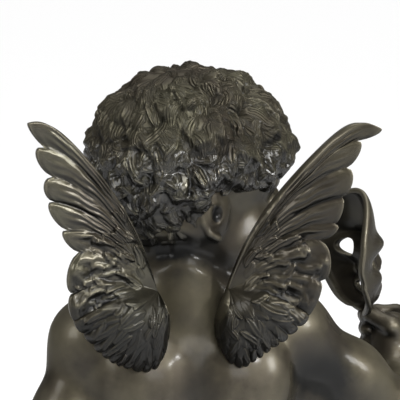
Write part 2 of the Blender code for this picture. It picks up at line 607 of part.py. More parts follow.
def mask_face():
    """Open domed sheet made of rings and spokes, in parts, looking along -Y."""
    bm = bmesh.new()
    bmesh.ops.create_grid(bm, x_segments=MASK_SPOKES, y_segments=MASK_RINGS, size=0.5)
    for vert in bm.verts:
        a, r = 2 * math.pi * (vert.co.x + 0.5), vert.co.y + 0.5
        wide = 1.0 + MASK_JAW * float(soft(-math.sin(a), 0.2, 0.9))
        vert.co = (MASK_HALF_WIDTH * r * math.cos(a) * wide, 0.0, MASK_HALF_HEIGHT * r * math.sin(a))
    bmesh.ops.remove_doubles(bm, verts=bm.verts[:], dist=WELD)
    for vert in bm.verts:
        vert.co.y = -float(mask_depth(vert.co.x, vert.co.z))
    bmesh.ops.recalc_face_normals(bm, faces=bm.faces[:])
    if sum(f.normal.y for f in bm.faces) > 0:
        bmesh.ops.reverse_faces(bm, faces=bm.faces[:])
    bmesh.ops.scale(bm, vec=(PART, PART, PART), verts=bm.verts[:])
    mesh = bpy.data.meshes.new("mask")
    bm.to_mesh(mesh)
    bm.free()
    return mesh


def hole_cutter(name, centre, half, place):
    """Oval bar that pierces the mask's wall."""
    bm = bmesh.new()
    long = 4 * (MASK_DOME + MASK_WRAP)
    bmesh.ops.create_cone(bm, segments=20, radius1=1, radius2=1, depth=long, cap_ends=True)
    turn = Matrix.Translation((centre[0], 0, centre[1])) @ Matrix.Rotation(math.radians(90), 4, "X")
    shape = Matrix.Scale(PART, 4) @ turn @ Matrix.Diagonal((half[0], half[1], 1, 1))
    bmesh.ops.transform(bm, verts=bm.verts[:], matrix=shape)
    mesh = bpy.data.meshes.new(name)
    bm.to_mesh(mesh)
    bm.free()
    return as_cutter(name, mesh, place)


def mask_place():
    """Where the mask stands: its chin in the fist, its face turned to the figure's right."""
    at = Vector(moved(moved(WRIST_R, FIST_FROM_WRIST), MASK_FROM_FIST)) * PART
    turn = Matrix.Rotation(math.radians(MASK_TURN), 4, "Z") @ Matrix.Rotation(math.radians(MASK_LEAN), 4, "X")
    turn = turn @ Matrix.Rotation(math.radians(MASK_ROLL), 4, "Y")
    return Matrix.Translation(at + Vector((0, 0, BASE_HEIGHT + JOINT_GAP))) @ turn


# Base
def base_profile():
    """Half outline of the turned base, from the top's middle down to the underside's."""
    bm = bmesh.new()
    points = [(0.0, 1.0)] + BASE_PROFILE + [(0.0, 0.0)]
    verts = [bm.verts.new((BASE_RADIUS * r, 0, BASE_HEIGHT * h)) for r, h in points]
    for pair in zip(verts, verts[1:]):
        bm.edges.new(pair)
    mesh = bpy.data.meshes.new("base")
    bm.to_mesh(mesh)
    bm.free()
    return mesh


# Assembly
def bronze(name, colour, roughness):
    mat = bpy.data.materials.new(name)
    mat.use_nodes = True
    shader = mat.node_tree.nodes["Principled BSDF"]
    shader.inputs["Base Color"].default_value = (*colour, 1.0)
    shader.inputs["Metallic"].default_value = 1.0
    shader.inputs["Roughness"].default_value = roughness
    return mat


def as_piece(name, mesh, colour, roughness, place=None):
    mesh.materials.clear()
    mesh.materials.append(bronze("bronze_" + name, colour, roughness))
    ob = bpy.data.objects.new(name, mesh)
    bpy.data.collections["cupid_statue"].objects.link(ob)
    if place is not None:
        ob.matrix_world = place
    return ob


def as_cutter(name, mesh, place=None):
    ob = bpy.data.objects.new(name, mesh)
    bpy.data.collections["cutters"].objects.link(ob)
    ob.hide_render = True
    ob.display_type = "WIRE"
    if place is not None:
        ob.matrix_world = place
    return ob


def cut(ob, cutter):
    mod = ob.modifiers.new("Cut " + cutter.name, "BOOLEAN")
    mod.operation = "DIFFERENCE"
    mod.solver = "EXACT"
    mod.object = cutter


def thin(ob, triangles):
    """Fewer triangles: the share kept comes from the mesh as its modifiers leave it."""
    graph = bpy.context.evaluated_depsgraph_get()
    graph.update()
    mesh = ob.evaluated_get(graph).data
    count = sum(len(p.vertices) - 2 for p in mesh.polygons)
    mod = ob.modifiers.new("Thin", "DECIMATE")
    mod.ratio = min(1.0, triangles / count)
    mod.use_collapse_triangulate = True


def on_base(mesh):
    """From parts to metres, soles a joint gap above the base."""
    mesh.transform(Matrix.Translation((0, 0, BASE_HEIGHT + JOINT_GAP)) @ Matrix.Scale(PART, 4))
    return mesh


def swollen(mesh, by):
    """Copy of a mesh with its skin moved outward."""
    out = mesh.copy()
    bm = bmesh.new()
    bm.from_mesh(out)
    bm.normal_update()
    for vert, move in [(v, v.normal * (by * v.calc_shell_factor())) for v in bm.verts]:
        vert.co += move
    bm.to_mesh(out)
    bm.free()
    return out


def build_base():
    base = as_piece("base", base_profile(), (0.05, 0.042, 0.03), 0.42)
    spin = base.modifiers.new("Turn", "SCREW")
    spin.axis = "Z"
    spin.steps = BASE_STEPS
    spin.render_steps = BASE_STEPS
    spin.use_merge_vertices = True
    spin.merge_threshold = WELD


def outer_skin(mesh):
    """Only the largest closed skin; bubbles shut in between lumps are left out."""
    bm = bmesh.new()
    bm.from_mesh(mesh)
    loose, skins = set(bm.verts), []
    while loose:
        skin, edge = set(), {loose.pop()}
        while edge:
            skin |= edge
            edge = {e.other_vert(v) for v in edge for e in v.link_edges} - skin
        loose -= skin
        skins.append(skin)
    skins.sort(key=len)
    bmesh.ops.delete(bm, geom=[v for skin in skins[:-1] for v in skin], context="VERTS")
    bm.to_mesh(mesh)
    bm.free()
    return mesh


def build_figure():
    clay = on_base(outer_skin(modelled(figure_clay(), CLAY_VOXEL)))
    count = sum(len(p.vertices) - 2 for p in clay.polygons)
    ratio = min(1.0, FIGURE_TRIANGLES / count)
    figure = baked(clay, "DECIMATE", ratio=ratio, use_collapse_triangulate=True)
    as_piece("figure", figure, (0.06, 0.05, 0.036), 0.4)
    return as_cutter("figure_seat", swollen(figure, JOINT_GAP))


def build_wing(name, side, seat):
    wing = as_piece(name, on_base(wing_mesh(side)), (0.055, 0.046, 0.034), 0.42)
    thin(wing, WING_TRIANGLES)
    cut(wing, seat)


def build_mask(seat):
    place = mask_place()
    mask = as_piece("mask", mask_face(), (0.058, 0.05, 0.038), 0.4, place)
    wall = mask.modifiers.new("Wall", "SOLIDIFY")
    wall.thickness = MASK_WALL
    wall.offset = -1.0
    wall.use_even_offset = True
    thin(mask, MASK_TRIANGLES)
    eye_x, eye_z = MASK_EYE
    for name, centre, half in (("eye_left", (eye_x, eye_z), MASK_EYE_HALF),
                               ("eye_right", (-eye_x, eye_z), MASK_EYE_HALF),
                               ("mouth", MASK_MOUTH, MASK_MOUTH_HALF)):
        cut(mask, hole_cutter("hole_" + name, centre, half, place))
    cut(mask, seat)


def build():
    for ob in list(bpy.data.objects):
        bpy.data.objects.remove(ob, do_unlink=True)
    for name in ("cupid_statue", "cutters"):
        bpy.context.scene.collection.children.link(bpy.data.collections.new(name))
    build_base()
    seat = build_figure()
    build_wing("wing_left", 1, seat)
    build_wing("wing_right", -1, seat)
    build_mask(seat)


build()
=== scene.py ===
# %% [markdown]
# # A winged cupid in bronze
# This lesson dresses the plain solids of a table bronze: a child with wings
# stands on a low round base and holds a theatre mask up in its right hand.
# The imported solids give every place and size. What they can't carry is
# modelled here: curls, feathers, cloth folds, a face and the patina.

import math

import bmesh
import bpy
import numpy as np
from mathutils import Matrix, Vector


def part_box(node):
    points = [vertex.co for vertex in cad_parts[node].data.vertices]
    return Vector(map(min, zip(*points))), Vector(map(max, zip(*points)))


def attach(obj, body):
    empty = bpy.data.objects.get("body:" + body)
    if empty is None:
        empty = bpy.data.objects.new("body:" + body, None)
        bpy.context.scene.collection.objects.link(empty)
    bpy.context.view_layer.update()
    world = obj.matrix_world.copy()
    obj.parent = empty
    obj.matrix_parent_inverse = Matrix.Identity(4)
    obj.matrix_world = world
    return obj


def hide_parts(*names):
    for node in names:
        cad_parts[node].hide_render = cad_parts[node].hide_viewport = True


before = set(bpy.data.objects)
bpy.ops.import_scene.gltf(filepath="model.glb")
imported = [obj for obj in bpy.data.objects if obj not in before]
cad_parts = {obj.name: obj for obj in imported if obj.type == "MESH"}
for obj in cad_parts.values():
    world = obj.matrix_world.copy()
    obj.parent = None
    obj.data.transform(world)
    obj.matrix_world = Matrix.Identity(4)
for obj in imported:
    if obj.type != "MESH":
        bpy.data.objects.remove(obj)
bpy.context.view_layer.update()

# %% [markdown]
# ## Sizes
# A modeller of figures works in parts of the figure's height. Here one part
# is a hundredth of it, from the soles to the crown. The soles' level is read
# from the frame, so the figure stands where its solid stands.

# %% Sizes and places
FIGURE_HEIGHT = 0.52
PART = FIGURE_HEIGHT / 100.0
SOLES = float(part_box("figure")[0][2])
MASK_WALL = 0.0026
WING_EDGE = 0.0022
WELD = 1e-5

HEAD_AT = (0.0, -0.9, 88.6)
HEAD_TURN, HEAD_NOD = -76.0, 4.0
SHOULDER_L, ELBOW_L = (9.6, 0.8, 74.6), (14.0, 1.8, 61.0)
SHOULDER_R, ELBOW_R, WRIST_R = (-9.4, 0.2, 75.2), (-21.6, -4.8, 65.8), (-21.4, -10.2, 70.0)
FIST_FROM_WRIST = (0.2, -1.4, 2.6)
HIP_L, KNEE_L, ANKLE_L = (4.3, 0.6, 39.5), (4.9, -0.6, 22.5), (4.5, 1.0, 5.0)
HIP_R, KNEE_R, ANKLE_R = (-4.1, 0.4, 39.0), (-6.4, -3.6, 23.0), (-7.4, 0.4, 5.0)
HEEL_L, TOE_L = (4.4, 2.0, 0.0), (6.2, -8.0, 0.0)
HEEL_R, TOE_R = (-7.4, 1.4, 0.0), (-11.0, -7.6, 0.0)
ARM_RADIUS = 2.85
SKIRT_TOP, SKIRT_HEM, HEM_SLANT = 48.5, 31.5, 3.6
SKIRT_TOP_RADII, SKIRT_FLARE, ROUGH_HEM_RADII = (8.5, 6.9), (2.3, 1.7), (10.4, 8.4)
SKIRT_FOLDS, FOLD_DEPTH = 15, 1.25
KNOT_AT = (8.6, -3.6, SKIRT_TOP - 1.5)
PALM_FROM_KNOT, WRIST_FROM_KNOT = (2.3, -2.0, 0.8), (4.0, 0.4, 4.2)
HAIRLINE = [
    (-9.5, 3.2), (-7.6, 1.8), (-5.6, 0.2), (-3.2, -0.5), (-1.9, -0.6), (-0.6, 0.0),
    (0.6, -0.8), (1.4, -3.6), (2.2, -5.3), (5.0, -6.2), (10.0, -6.9),
]
print("one part is", round(PART * 1000, 2), "mm; soles at", round(SOLES * 1000, 2), "mm")

# %% [markdown]
# ## Clay
# A bronze starts as clay: lumps are pressed on and smoothed into each other.
# The same is done here. Each lump is a ball or a tapered bar with a distance
# formula, and a smooth minimum blends them. Rough balls and bars give a first
# skin by voxel remesh, and the skin is then drawn onto the blended surface.


# %% Lumps of clay
def turned(degrees):
    """Rotation matrix from three angles about X, Y and Z."""
    x, y, z = (math.radians(a) for a in degrees)
    m = Matrix.Rotation(z, 3, "Z") @ Matrix.Rotation(y, 3, "Y") @ Matrix.Rotation(x, 3, "X")
    return np.array(m)


def along(a, b, t):
    return tuple(a[i] + (b[i] - a[i]) * t for i in range(3))


def moved(a, b):
    return tuple(a[i] + b[i] for i in range(3))


def unit(v):
    return v / np.linalg.norm(v)


class Clay:
    """Lumps pressed on one after another, each blended into those before it."""

    def __init__(self):
        self.lumps = []
        self.turn = np.eye(3)
        self.at = np.zeros(3)

    def stand(self, at=(0, 0, 0), turn=None):
        self.at = np.array(at, float)
        self.turn = np.eye(3) if turn is None else turn

    def place(self, point):
        return self.turn @ np.array(point, float) + self.at

    def ball(self, centre, radii, blend=1.0, turn=(0, 0, 0), cut=False):
        radii = np.array(radii if hasattr(radii, "__len__") else (radii,) * 3, float)
        self.lumps.append(("ball", self.place(centre), radii, self.turn @ turned(turn), blend, cut))

    def limb(self, start, end, r0, r1, blend=1.0, cut=False):
        self.lumps.append(("limb", self.place(start), self.place(end), (r0, r1), blend, cut))

    def path(self, points, radii, blend=0.5, cut=False):
        for i in range(len(points) - 1):
            self.limb(points[i], points[i + 1], radii[i], radii[i + 1], blend, cut)

    def ball_pair(self, centre, radii, blend=1.0, turn=(0, 0, 0), cut=False):
        for s in (1, -1):
            self.ball((s * centre[0], centre[1], centre[2]), radii, blend,
                      (turn[0], s * turn[1], s * turn[2]), cut)

    def limb_pair(self, start, end, r0, r1, blend=1.0, cut=False):
        for s in (1, -1):
            a, b = ((s * x, y, z) for x, y, z in (start, end))
            self.limb(a, b, r0, r1, blend, cut)

    def path_pair(self, points, radii, blend=0.5, cut=False):
        for s in (1, -1):
            self.path([(s * x, y, z) for x, y, z in points], radii, blend, cut)

    def skirt(self, blend=0.8):
        self.lumps.append(("skirt", None, None, None, blend, False))


print("clay lumps: ball, limb, path, skirt")


# %% How far a point is from the clay
def hem_height(angle):
    return SKIRT_HEM - HEM_SLANT * np.cos(angle - 0.5)


def skirt_shape(p):
    """Hanging cloth: an oval cone with folds that deepen towards a slanting hem."""
    angle = np.arctan2(p[:, 1], p[:, 0])
    hem = hem_height(angle)
    t = np.clip((SKIRT_TOP - p[:, 2]) / (SKIRT_TOP - hem), 0.0, 1.2)
    wave = SKIRT_FOLDS * angle + 1.3 * np.sin(2 * angle + 0.6) + 0.9 * t * np.sin(3 * angle)
    fold = np.abs(np.sin(wave / 2)) ** 0.8 - 0.55
    fold = fold + 0.35 * np.sin(angle * 4 + 1.0)
    fine = 0.12 * np.sin(wave * 1.5 + 3.0 * t) * t
    grow = FOLD_DEPTH * np.clip(t, 0.08, 1.0) * (fold + fine)
    a, b = (top + flare * t + grow for top, flare in zip(SKIRT_TOP_RADII, SKIRT_FLARE))
    k = np.sqrt((p[:, 0] / a) ** 2 + (p[:, 1] / b) ** 2)
    side = (k - 1.0) * 7.4
    return np.maximum(np.maximum(side, p[:, 2] - SKIRT_TOP), hem - p[:, 2])


def lump_distance(lump, p):
    if lump[0] == "ball":
        q = (p - lump[1]) @ lump[3]
        k0 = np.sqrt(((q / lump[2]) ** 2).sum(1))
        k1 = np.sqrt(((q / lump[2] ** 2) ** 2).sum(1)) + 1e-9
        return k0 * (k0 - 1.0) / k1
    if lump[0] == "skirt":
        return skirt_shape(p)
    a, b, (ra, rb) = lump[1:4]
    ab = b - a
    t = np.clip(((p - a) @ ab) / (ab @ ab), 0, 1)
    return np.sqrt(((p - a - t[:, None] * ab) ** 2).sum(1)) - (ra + (rb - ra) * t)


def reach(lump):
    """Ball outside which a lump changes nothing."""
    if lump[0] == "ball":
        return lump[1], float(lump[2].max()) + lump[4] + 1.6
    if lump[0] == "limb":
        half = float(np.linalg.norm(lump[2] - lump[1])) / 2
        return (lump[1] + lump[2]) / 2, half + max(lump[3]) + lump[4] + 1.6
    return np.array((0.0, 0.0, 39.0)), 24.0


def clay_distance(lumps, p):
    """Signed distance to the blended clay; the soles stand on the plane z = 0."""
    d = np.full(len(p), 9.0)
    for lump in lumps:
        centre, radius = reach(lump)
        near = np.nonzero(((p - centre) ** 2).sum(1) < radius * radius)[0]
        if not len(near):
            continue
        e, old, blend = lump_distance(lump, p[near]), d[near], lump[4]
        if lump[5]:
            h = np.clip(0.5 - 0.5 * (old + e) / blend, 0, 1)
            d[near] = old + (-e - old) * h + blend * h * (1 - h)
        else:
            h = np.clip(0.5 + 0.5 * (e - old) / blend, 0, 1)
            d[near] = e + (old - e) * h - blend * h * (1 - h)
    return np.maximum(d, -p[:, 2])


def pulled(lumps, p, times=5, eps=0.02, most=0.5):
    """Points moved onto the clay's surface."""
    steps = eps * np.eye(3)
    for _ in range(times):
        d = clay_distance(lumps, p)
        g = np.stack([clay_distance(lumps, p + s) - d for s in steps], 1) / eps
        n = np.maximum((g * g).sum(1), 0.05)
        p = p - np.clip(d / n, -most, most)[:, None] * g
    return p


print("distance formulas ready")


# %% From lumps to a skin
def mesh_points(mesh):
    co = np.empty(len(mesh.vertices) * 3)
    mesh.vertices.foreach_get("co", co)
    return co.reshape(-1, 3)


def set_points(mesh, points):
    mesh.vertices.foreach_set("co", points.astype(np.float32).ravel())
    mesh.update()


def keep_values(mesh, name, values):
    """One number for each point, kept on the mesh for its material."""
    layer = mesh.attributes.new(name, "FLOAT", "POINT")
    layer.data.foreach_set("value", values.astype(np.float32))


def linked(name, data):
    """A new object in the scene."""
    ob = bpy.data.objects.new(name, data)
    bpy.context.scene.collection.objects.link(ob)
    return ob


def welded(bm):
    """Doubled points merged and faces turned outward."""
    bmesh.ops.remove_doubles(bm, verts=bm.verts[:], dist=WELD)
    bmesh.ops.recalc_face_normals(bm, faces=bm.faces[:])


def to_mesh(bm, name):
    """Finished bmesh as a mesh, smooth shaded."""
    for face in bm.faces:
        face.smooth = True
    mesh = bpy.data.meshes.new(name)
    bm.to_mesh(mesh)
    bm.free()
    return mesh


def unit_shapes():
    """Points and faces of the ball and the bar that lumps are roughed out with."""
    out = []
    for kind in ("ball", "bar"):
        bm = bmesh.new()
        if kind == "ball":
            bmesh.ops.create_icosphere(bm, subdivisions=3, radius=1.0)
        else:
            bmesh.ops.create_cone(bm, segments=20, radius1=1, radius2=1, depth=2, cap_ends=True)
        points = np.array([v.co[:] for v in bm.verts])
        out.append((points, [[v.index for v in f.verts] for f in bm.faces]))
        bm.free()
    return out


def roughed_out(lumps):
    """Closed overlapping solids, one for each lump, as a start for the remesh."""
    (ball, ball_faces), (bar, bar_faces) = unit_shapes()
    points, faces, count = [], [], 0

    def add(co, fs):
        nonlocal count
        points.append(co)
        faces.extend([[i + count for i in f] for f in fs])
        count += len(co)

    for lump in lumps:
        if lump[5]:
            continue
        if lump[0] == "ball":
            add((ball * lump[2]) @ lump[3].T + lump[1], ball_faces)
        elif lump[0] == "skirt":
            co = bar.copy()
            low = co[:, 2] < 0
            for k in range(2):
                co[:, k] *= np.where(low, ROUGH_HEM_RADII[k], SKIRT_TOP_RADII[k])
            co[:, 2] = np.where(low, hem_height(np.arctan2(co[:, 1], co[:, 0])), SKIRT_TOP)
            add(co, bar_faces)
        else:
            a, b, (ra, rb) = lump[1:4]
            axes = np.array(Vector(b - a).to_track_quat("Z", "Y").to_matrix())
            co = bar.copy()
            co[:, :2] *= np.where(co[:, 2] > 0, rb, ra)[:, None]
            co[:, 2] *= np.linalg.norm(b - a) / 2
            add(co @ axes.T + (a + b) / 2, bar_faces)
            add(ball * ra + a, ball_faces)
            add(ball * rb + b, ball_faces)
    co = np.concatenate(points)
    co[:, 2] = np.maximum(co[:, 2], 0.0)
    mesh = bpy.data.meshes.new("rough")
    mesh.from_pydata(co.tolist(), [], faces)
    return mesh


def baked(mesh, kind, **settings):
    """Mesh after one modifier."""
    ob = linked("bake", mesh)
    mod = ob.modifiers.new(kind, kind)
    for key, value in settings.items():
        setattr(mod, key, value)
    graph = bpy.context.evaluated_depsgraph_get()
    out = bpy.data.meshes.new_from_object(ob.evaluated_get(graph))
    bpy.data.objects.remove(ob)
    return out


def modelled(lumps, voxel, finer=None):
    """Skin over the lumps; finer picks the points whose faces are split once more."""
    mesh = baked(roughed_out(lumps), "REMESH", mode="VOXEL", voxel_size=voxel)
    set_points(mesh, pulled(lumps, mesh_points(mesh)))
    if finer is not None:
        bm = bmesh.new()
        bm.from_mesh(mesh)
        pick = finer(mesh_points(mesh))
        edges = [e for e in bm.edges if pick[e.verts[0].index] and pick[e.verts[1].index]]
        bmesh.ops.subdivide_edges(bm, edges=edges, cuts=1, use_grid_fill=True)
        mesh = to_mesh(bm, "finer")
        set_points(mesh, pulled(lumps, mesh_points(mesh), times=3))
    return mesh


print("skin tools ready")

# %% [markdown]
# ## The body
# A putto has a round belly, short limbs with soft creases, and a back with
# two shoulder blades and a shallow furrow for the spine. The weight is on the
# left leg. Each of these is a lump, or a cut that leaves a furrow.


# %% Torso, legs and arms
def torso(c):
    c.ball((0, 0.4, 43.5), (8.2, 6.2, 6.4))
    c.ball((0, -1.5, 51.8), (8.0, 6.8, 7.6), blend=3)
    c.ball((0.2, 0.2, 62.5), (8.3, 6.3, 10.5), blend=4)
    c.stand((0.4, 0.0, 0.0))
    c.ball_pair((4.9, 0.6, 69.0), (4.7, 5.2, 7.2), blend=3)
    c.ball((0, 0.9, 72.0), (8.6, 5.5, 5.6), blend=3)
    c.ball_pair((4.0, -3.6, 68.6), (3.9, 2.3, 3.0), blend=2.2)
    c.ball_pair((5.0, 4.3, 71.0), (3.4, 2.0, 4.6), blend=2, turn=(0, 12, 0))
    c.limb_pair((1.6, 2.0, 79.2), (8.4, 1.2, 76.2), 2.7, 2.4, blend=2.5)
    c.limb((0, 7.9, 77.0), (0, 7.7, 52.0), 1.0, 1.2, blend=2.2, cut=True)
    c.stand()
    c.ball_pair((3.7, 2.9, 41.4), (4.0, 3.5, 4.4), blend=1.2)
    c.ball((0, -8.6, 53.0), (0.55, 0.8, 0.65), blend=0.8, cut=True)
    c.ball_pair((4.3, -6.2, 68.2), (0.75, 0.5, 0.75), blend=0.8)
    c.limb((-7.6, -0.4, 69.6), (-16.0, -3.6, 66.2), 3.6, 2.9, blend=1.2)


def leg(c, hip, knee, ankle, heel, toe, side):
    hip, knee, ankle, heel, toe = (np.array(v, float) for v in (hip, knee, ankle, heel, toe))
    c.limb(hip, knee, 5.3, 3.6, blend=2.0)
    c.ball(hip * 0.45 + knee * 0.55 + (side * 0.7, -0.3, 0), (4.4, 4.5, 6.0), blend=2)
    c.ball(knee + (0, -0.9, 0.2), (3.0, 2.7, 3.0), blend=1.5)
    c.limb(knee, ankle, 3.3, 2.1, blend=1.4)
    c.ball(knee * 0.62 + ankle * 0.38 + (side * 0.3, 1.1, 0), (3.1, 3.0, 5.4), blend=1.8)
    c.ball(heel + (0, 0.2, 1.9), (2.0, 2.2, 1.9), blend=1.2)
    way = unit(toe - heel)
    across = np.array((way[1], -way[0], 0)) * -side
    tread = heel + way * 6.4
    c.limb(ankle + (0, 0, 0.3), tread + (0, 0, 1.6), 2.1, 1.5, blend=1.6)
    c.limb(heel + (0, 0, 1.4), tread + across * 1.0 + (0, 0, 1.1), 1.5, 1.2, blend=1.2)
    c.limb(heel + (0, 0, 1.4), tread - across * 0.9 + (0, 0, 1.3), 1.4, 1.4, blend=1.2)
    for i, (r, long) in enumerate(((1.0, 2.5), (0.76, 2.5), (0.7, 2.2), (0.64, 1.8), (0.58, 1.3))):
        root = tread + across * (-1.65 + 0.86 * i) + way * 0.2 + (0, 0, r + 0.15)
        c.limb(root, root + way * long + (0, 0, -0.12), r * 0.92, r, blend=0.35)


def arm(c, shoulder, elbow, wrist, r):
    c.ball(shoulder, r * 1.12, blend=2.5)
    c.limb(shoulder, elbow, r, r * 0.86, blend=2.0)
    c.ball(along(shoulder, elbow, 0.5), r * 1.0, blend=2.0)
    c.limb(elbow, wrist, r * 0.86, r * 0.62, blend=1.6)
    c.ball(along(elbow, wrist, 0.3), r * 0.92, blend=1.8)


print("torso, leg and arm recipes")


# %% Hands
FIST_AT, PALM_AT = moved(WRIST_R, FIST_FROM_WRIST), moved(KNOT_AT, PALM_FROM_KNOT)
WRIST_L = moved(KNOT_AT, WRIST_FROM_KNOT)


def right_hand(c):
    """Fist closed round an upright chin: four stacked fingers and a thumb."""
    x, y, z = FIST_AT
    c.ball((x - 0.4, y + 0.5, z - 0.2), (1.9, 2.1, 2.5), blend=1.4)
    c.limb(WRIST_R, (x - 0.3, y + 0.6, z - 0.6), 1.8, 2.0, blend=1.2)
    for k in range(4):
        level, r = z + 1.9 - 1.28 * k, 0.78 - 0.04 * k
        spread = 2.15 - 0.06 * k
        turn = [(x + spread * math.cos(math.radians(a)), y + spread * math.sin(math.radians(a)), level)
                for a in (190, 235, 285, 330, 10)]
        c.path(turn, (r, r * 1.02, r, r * 0.96, r * 0.9), blend=0.3)
    c.path([(x - 1.4, y + 1.6, z - 0.6), (x + 0.2, y + 2.3, z + 1.2), (x + 1.9, y + 1.2, z + 2.2)],
           (1.0, 0.85, 0.78), blend=0.4)


def left_hand(c):
    """Hand laid on the knot of the cloth."""
    x, y, z = PALM_AT
    c.limb(WRIST_L, PALM_AT, 1.7, 1.8, blend=1.2)
    c.ball(PALM_AT, (1.5, 2.3, 2.1), blend=1.0)
    for k in range(4):
        fy = y + 1.6 - 1.25 * k
        knuckle, middle = (x - 0.25 * k, fy, z - 0.6), (x - 0.3 - 0.45 * k, fy - 0.5, z - 2.9)
        c.path([knuckle, middle, (x - 1.3 - 0.55 * k, fy - 0.6, z - 4.2)], (0.8, 0.76, 0.68), blend=0.3)
    c.path([(x + 0.3, y - 1.2, z + 1.0), (x - 1.5, y - 2.6, z + 0.4), (x - 2.9, y - 2.7, z - 0.4)],
           (0.85, 0.8, 0.7), blend=0.4)


print("hands")


# %% Cloth round the hips
def drapery(c):
    """Cloth round the hips with a rolled upper edge, a knot and two tails."""
    c.skirt()
    steps = 40
    ring = []
    for i in range(steps + 1):
        a = 2 * math.pi * i / steps
        ring.append((8.6 * math.cos(a), 7.1 * math.sin(a) - 0.2, 47.6 - 1.1 * math.cos(a - 0.5)))
    for k in range(2):
        rope = []
        for i, (x, y, z) in enumerate(ring):
            twist = 2 * math.pi * (i / steps * 9 + k / 2)
            push = 1 + 0.055 * math.cos(twist)
            rope.append((x * push, y * push, z + 0.62 * math.sin(twist)))
        c.path(rope, [1.0] * (steps + 1), blend=0.3)
    kx, ky, kz = KNOT_AT
    c.ball((kx, ky, kz), (1.9, 2.0, 2.1), blend=0.5)
    for dx, dy, drop in ((0.8, -0.6, 13.5), (0.3, -2.6, 10.5)):
        for f in range(3):
            top = (kx + 0.4 + 0.2 * f, ky - 0.3 - 0.8 * f, kz - 1.2)
            low = (kx + dx + 1.5 - 0.3 * f, ky + dy - 1.25 * f, kz - drop + 0.9 * f)
            c.path([top, along(top, low, 0.5), low], (0.6, 0.9, 1.05), blend=0.35)


print("drapery")

# %% [markdown]
# ## The head
# The head is turned to the right, so from behind it shows almost in profile.
# The face is a plain calm child's face laid out by the usual rule: eyes near
# half height, the nose's tip halfway from there to the chin, small closed lips.


# %% Skull, face and ears
def head_turn():
    turn = Matrix.Rotation(math.radians(HEAD_TURN), 3, "Z")
    return np.array(turn @ Matrix.Rotation(math.radians(HEAD_NOD), 3, "X"))


def ear(c, s):
    """Rim, inner fold and lobe, laid against the skull under the curls."""
    ring = [(-0.3, -0.9), (-0.2, 0.5), (0.6, 1.3), (1.5, 1.2),
            (1.9, 0.2), (1.6, -1.1), (0.9, -2.0), (0.2, -2.4)]
    rim = [(s * (6.45 + 0.05 * i), -0.3 + y, -1.9 + z) for i, (y, z) in enumerate(ring)]
    fold = [(s * (6.6 + 0.04 * i), -0.3 + 0.62 * y, -1.9 + 0.6 * z)
            for i, (y, z) in enumerate(ring[2:7])]
    c.ball((s * 6.2, 0.3, -2.2), (0.8, 1.6, 2.0), blend=0.6)
    c.path(rim, (0.2, 0.22, 0.24, 0.25, 0.25, 0.27, 0.38, 0.44), blend=0.15)
    c.path(fold, (0.16, 0.2, 0.22, 0.2, 0.16), blend=0.12)
    c.ball((s * 7.0, 0.1, -2.1), (0.6, 0.5, 0.75), blend=0.3, cut=True)


def face(c):
    c.ball((0, -3.0, 2.0), (5.9, 5.4, 5.6), blend=1.5)
    c.ball((0, -2.6, -3.4), (5.0, 5.0, 5.6), blend=1.5)
    c.ball_pair((3.1, -4.7, -4.2), (2.3, 2.4, 2.6), blend=1.4)
    c.ball_pair((3.4, -1.6, -5.2), (2.3, 3.2, 2.6), blend=1.4)
    c.ball((0, -5.6, -8.0), (2.0, 1.7, 1.5), blend=1.2)
    c.ball((0, -3.4, -8.0), (3.0, 2.8, 1.6), blend=1.4)
    c.ball_pair((2.7, -8.1, -1.1), (1.7, 1.5, 1.1), blend=1.0, turn=(0, 0, 14), cut=True)
    c.ball_pair((2.6, -6.1, -1.15), (1.35, 1.3, 1.1), blend=0.2)
    lid = [(1.35, -7.0, -1.25), (1.9, -7.45, -0.55), (2.8, -7.5, -0.35),
           (3.6, -7.05, -0.7), (3.95, -6.6, -1.3)]
    c.path_pair(lid, (0.16, 0.24, 0.26, 0.24, 0.16), blend=0.22)
    low_lid = [(1.35, -7.0, -1.3), (2.3, -7.3, -1.95), (3.3, -7.05, -1.95), (3.95, -6.6, -1.35)]
    c.path_pair(low_lid, (0.14, 0.18, 0.18, 0.14), blend=0.22)
    c.limb_pair((1.1, -7.75, 0.75), (4.4, -6.2, 0.9), 0.45, 0.4, blend=1.1)
    c.limb((0, -7.7, -0.4), (0, -8.7, -3.4), 0.6, 0.85, blend=0.9)
    c.ball_pair((0.9, -8.0, -3.75), (0.6, 0.75, 0.55), blend=0.4)
    c.ball_pair((0.45, -8.6, -4.35), (0.25, 0.35, 0.22), blend=0.2, cut=True)
    c.ball_pair((0.7, -7.45, -5.45), (1.05, 0.7, 0.4), blend=0.35, turn=(0, 12, 14))
    c.ball((0, -7.35, -6.2), (1.15, 0.7, 0.48), blend=0.35)
    lips = [(-1.5, -7.75, -5.85), (0, -8.3, -5.8), (1.5, -7.75, -5.85)]
    c.path(lips, (0.1, 0.14, 0.1), blend=0.15, cut=True)


def head(c):
    c.limb((0.4, 0.9, 77), (0.2, -0.2, 84.5), 4.4, 4.3, blend=2.2)
    c.limb((0.4, 0.5, 79.5), (0.6, 1.0, 85.0), 4.4, 4.9, blend=1.2)
    c.stand(HEAD_AT, head_turn())
    c.ball((0, 0.8, 2.0), (7.0, 8.0, 7.7), blend=1.5)
    face(c)
    for s in (1, -1):
        ear(c, s)
    c.stand()
    crease = [(5.2, 2.4, 82.2), (3.8, 4.6, 83.0), (1.8, 5.9, 83.4), (-0.5, 6.0, 82.8), (-2.8, 4.9, 81.3)]
    c.path(crease, (0.3, 0.55, 0.65, 0.6, 0.35), blend=1.3, cut=True)


print("head")


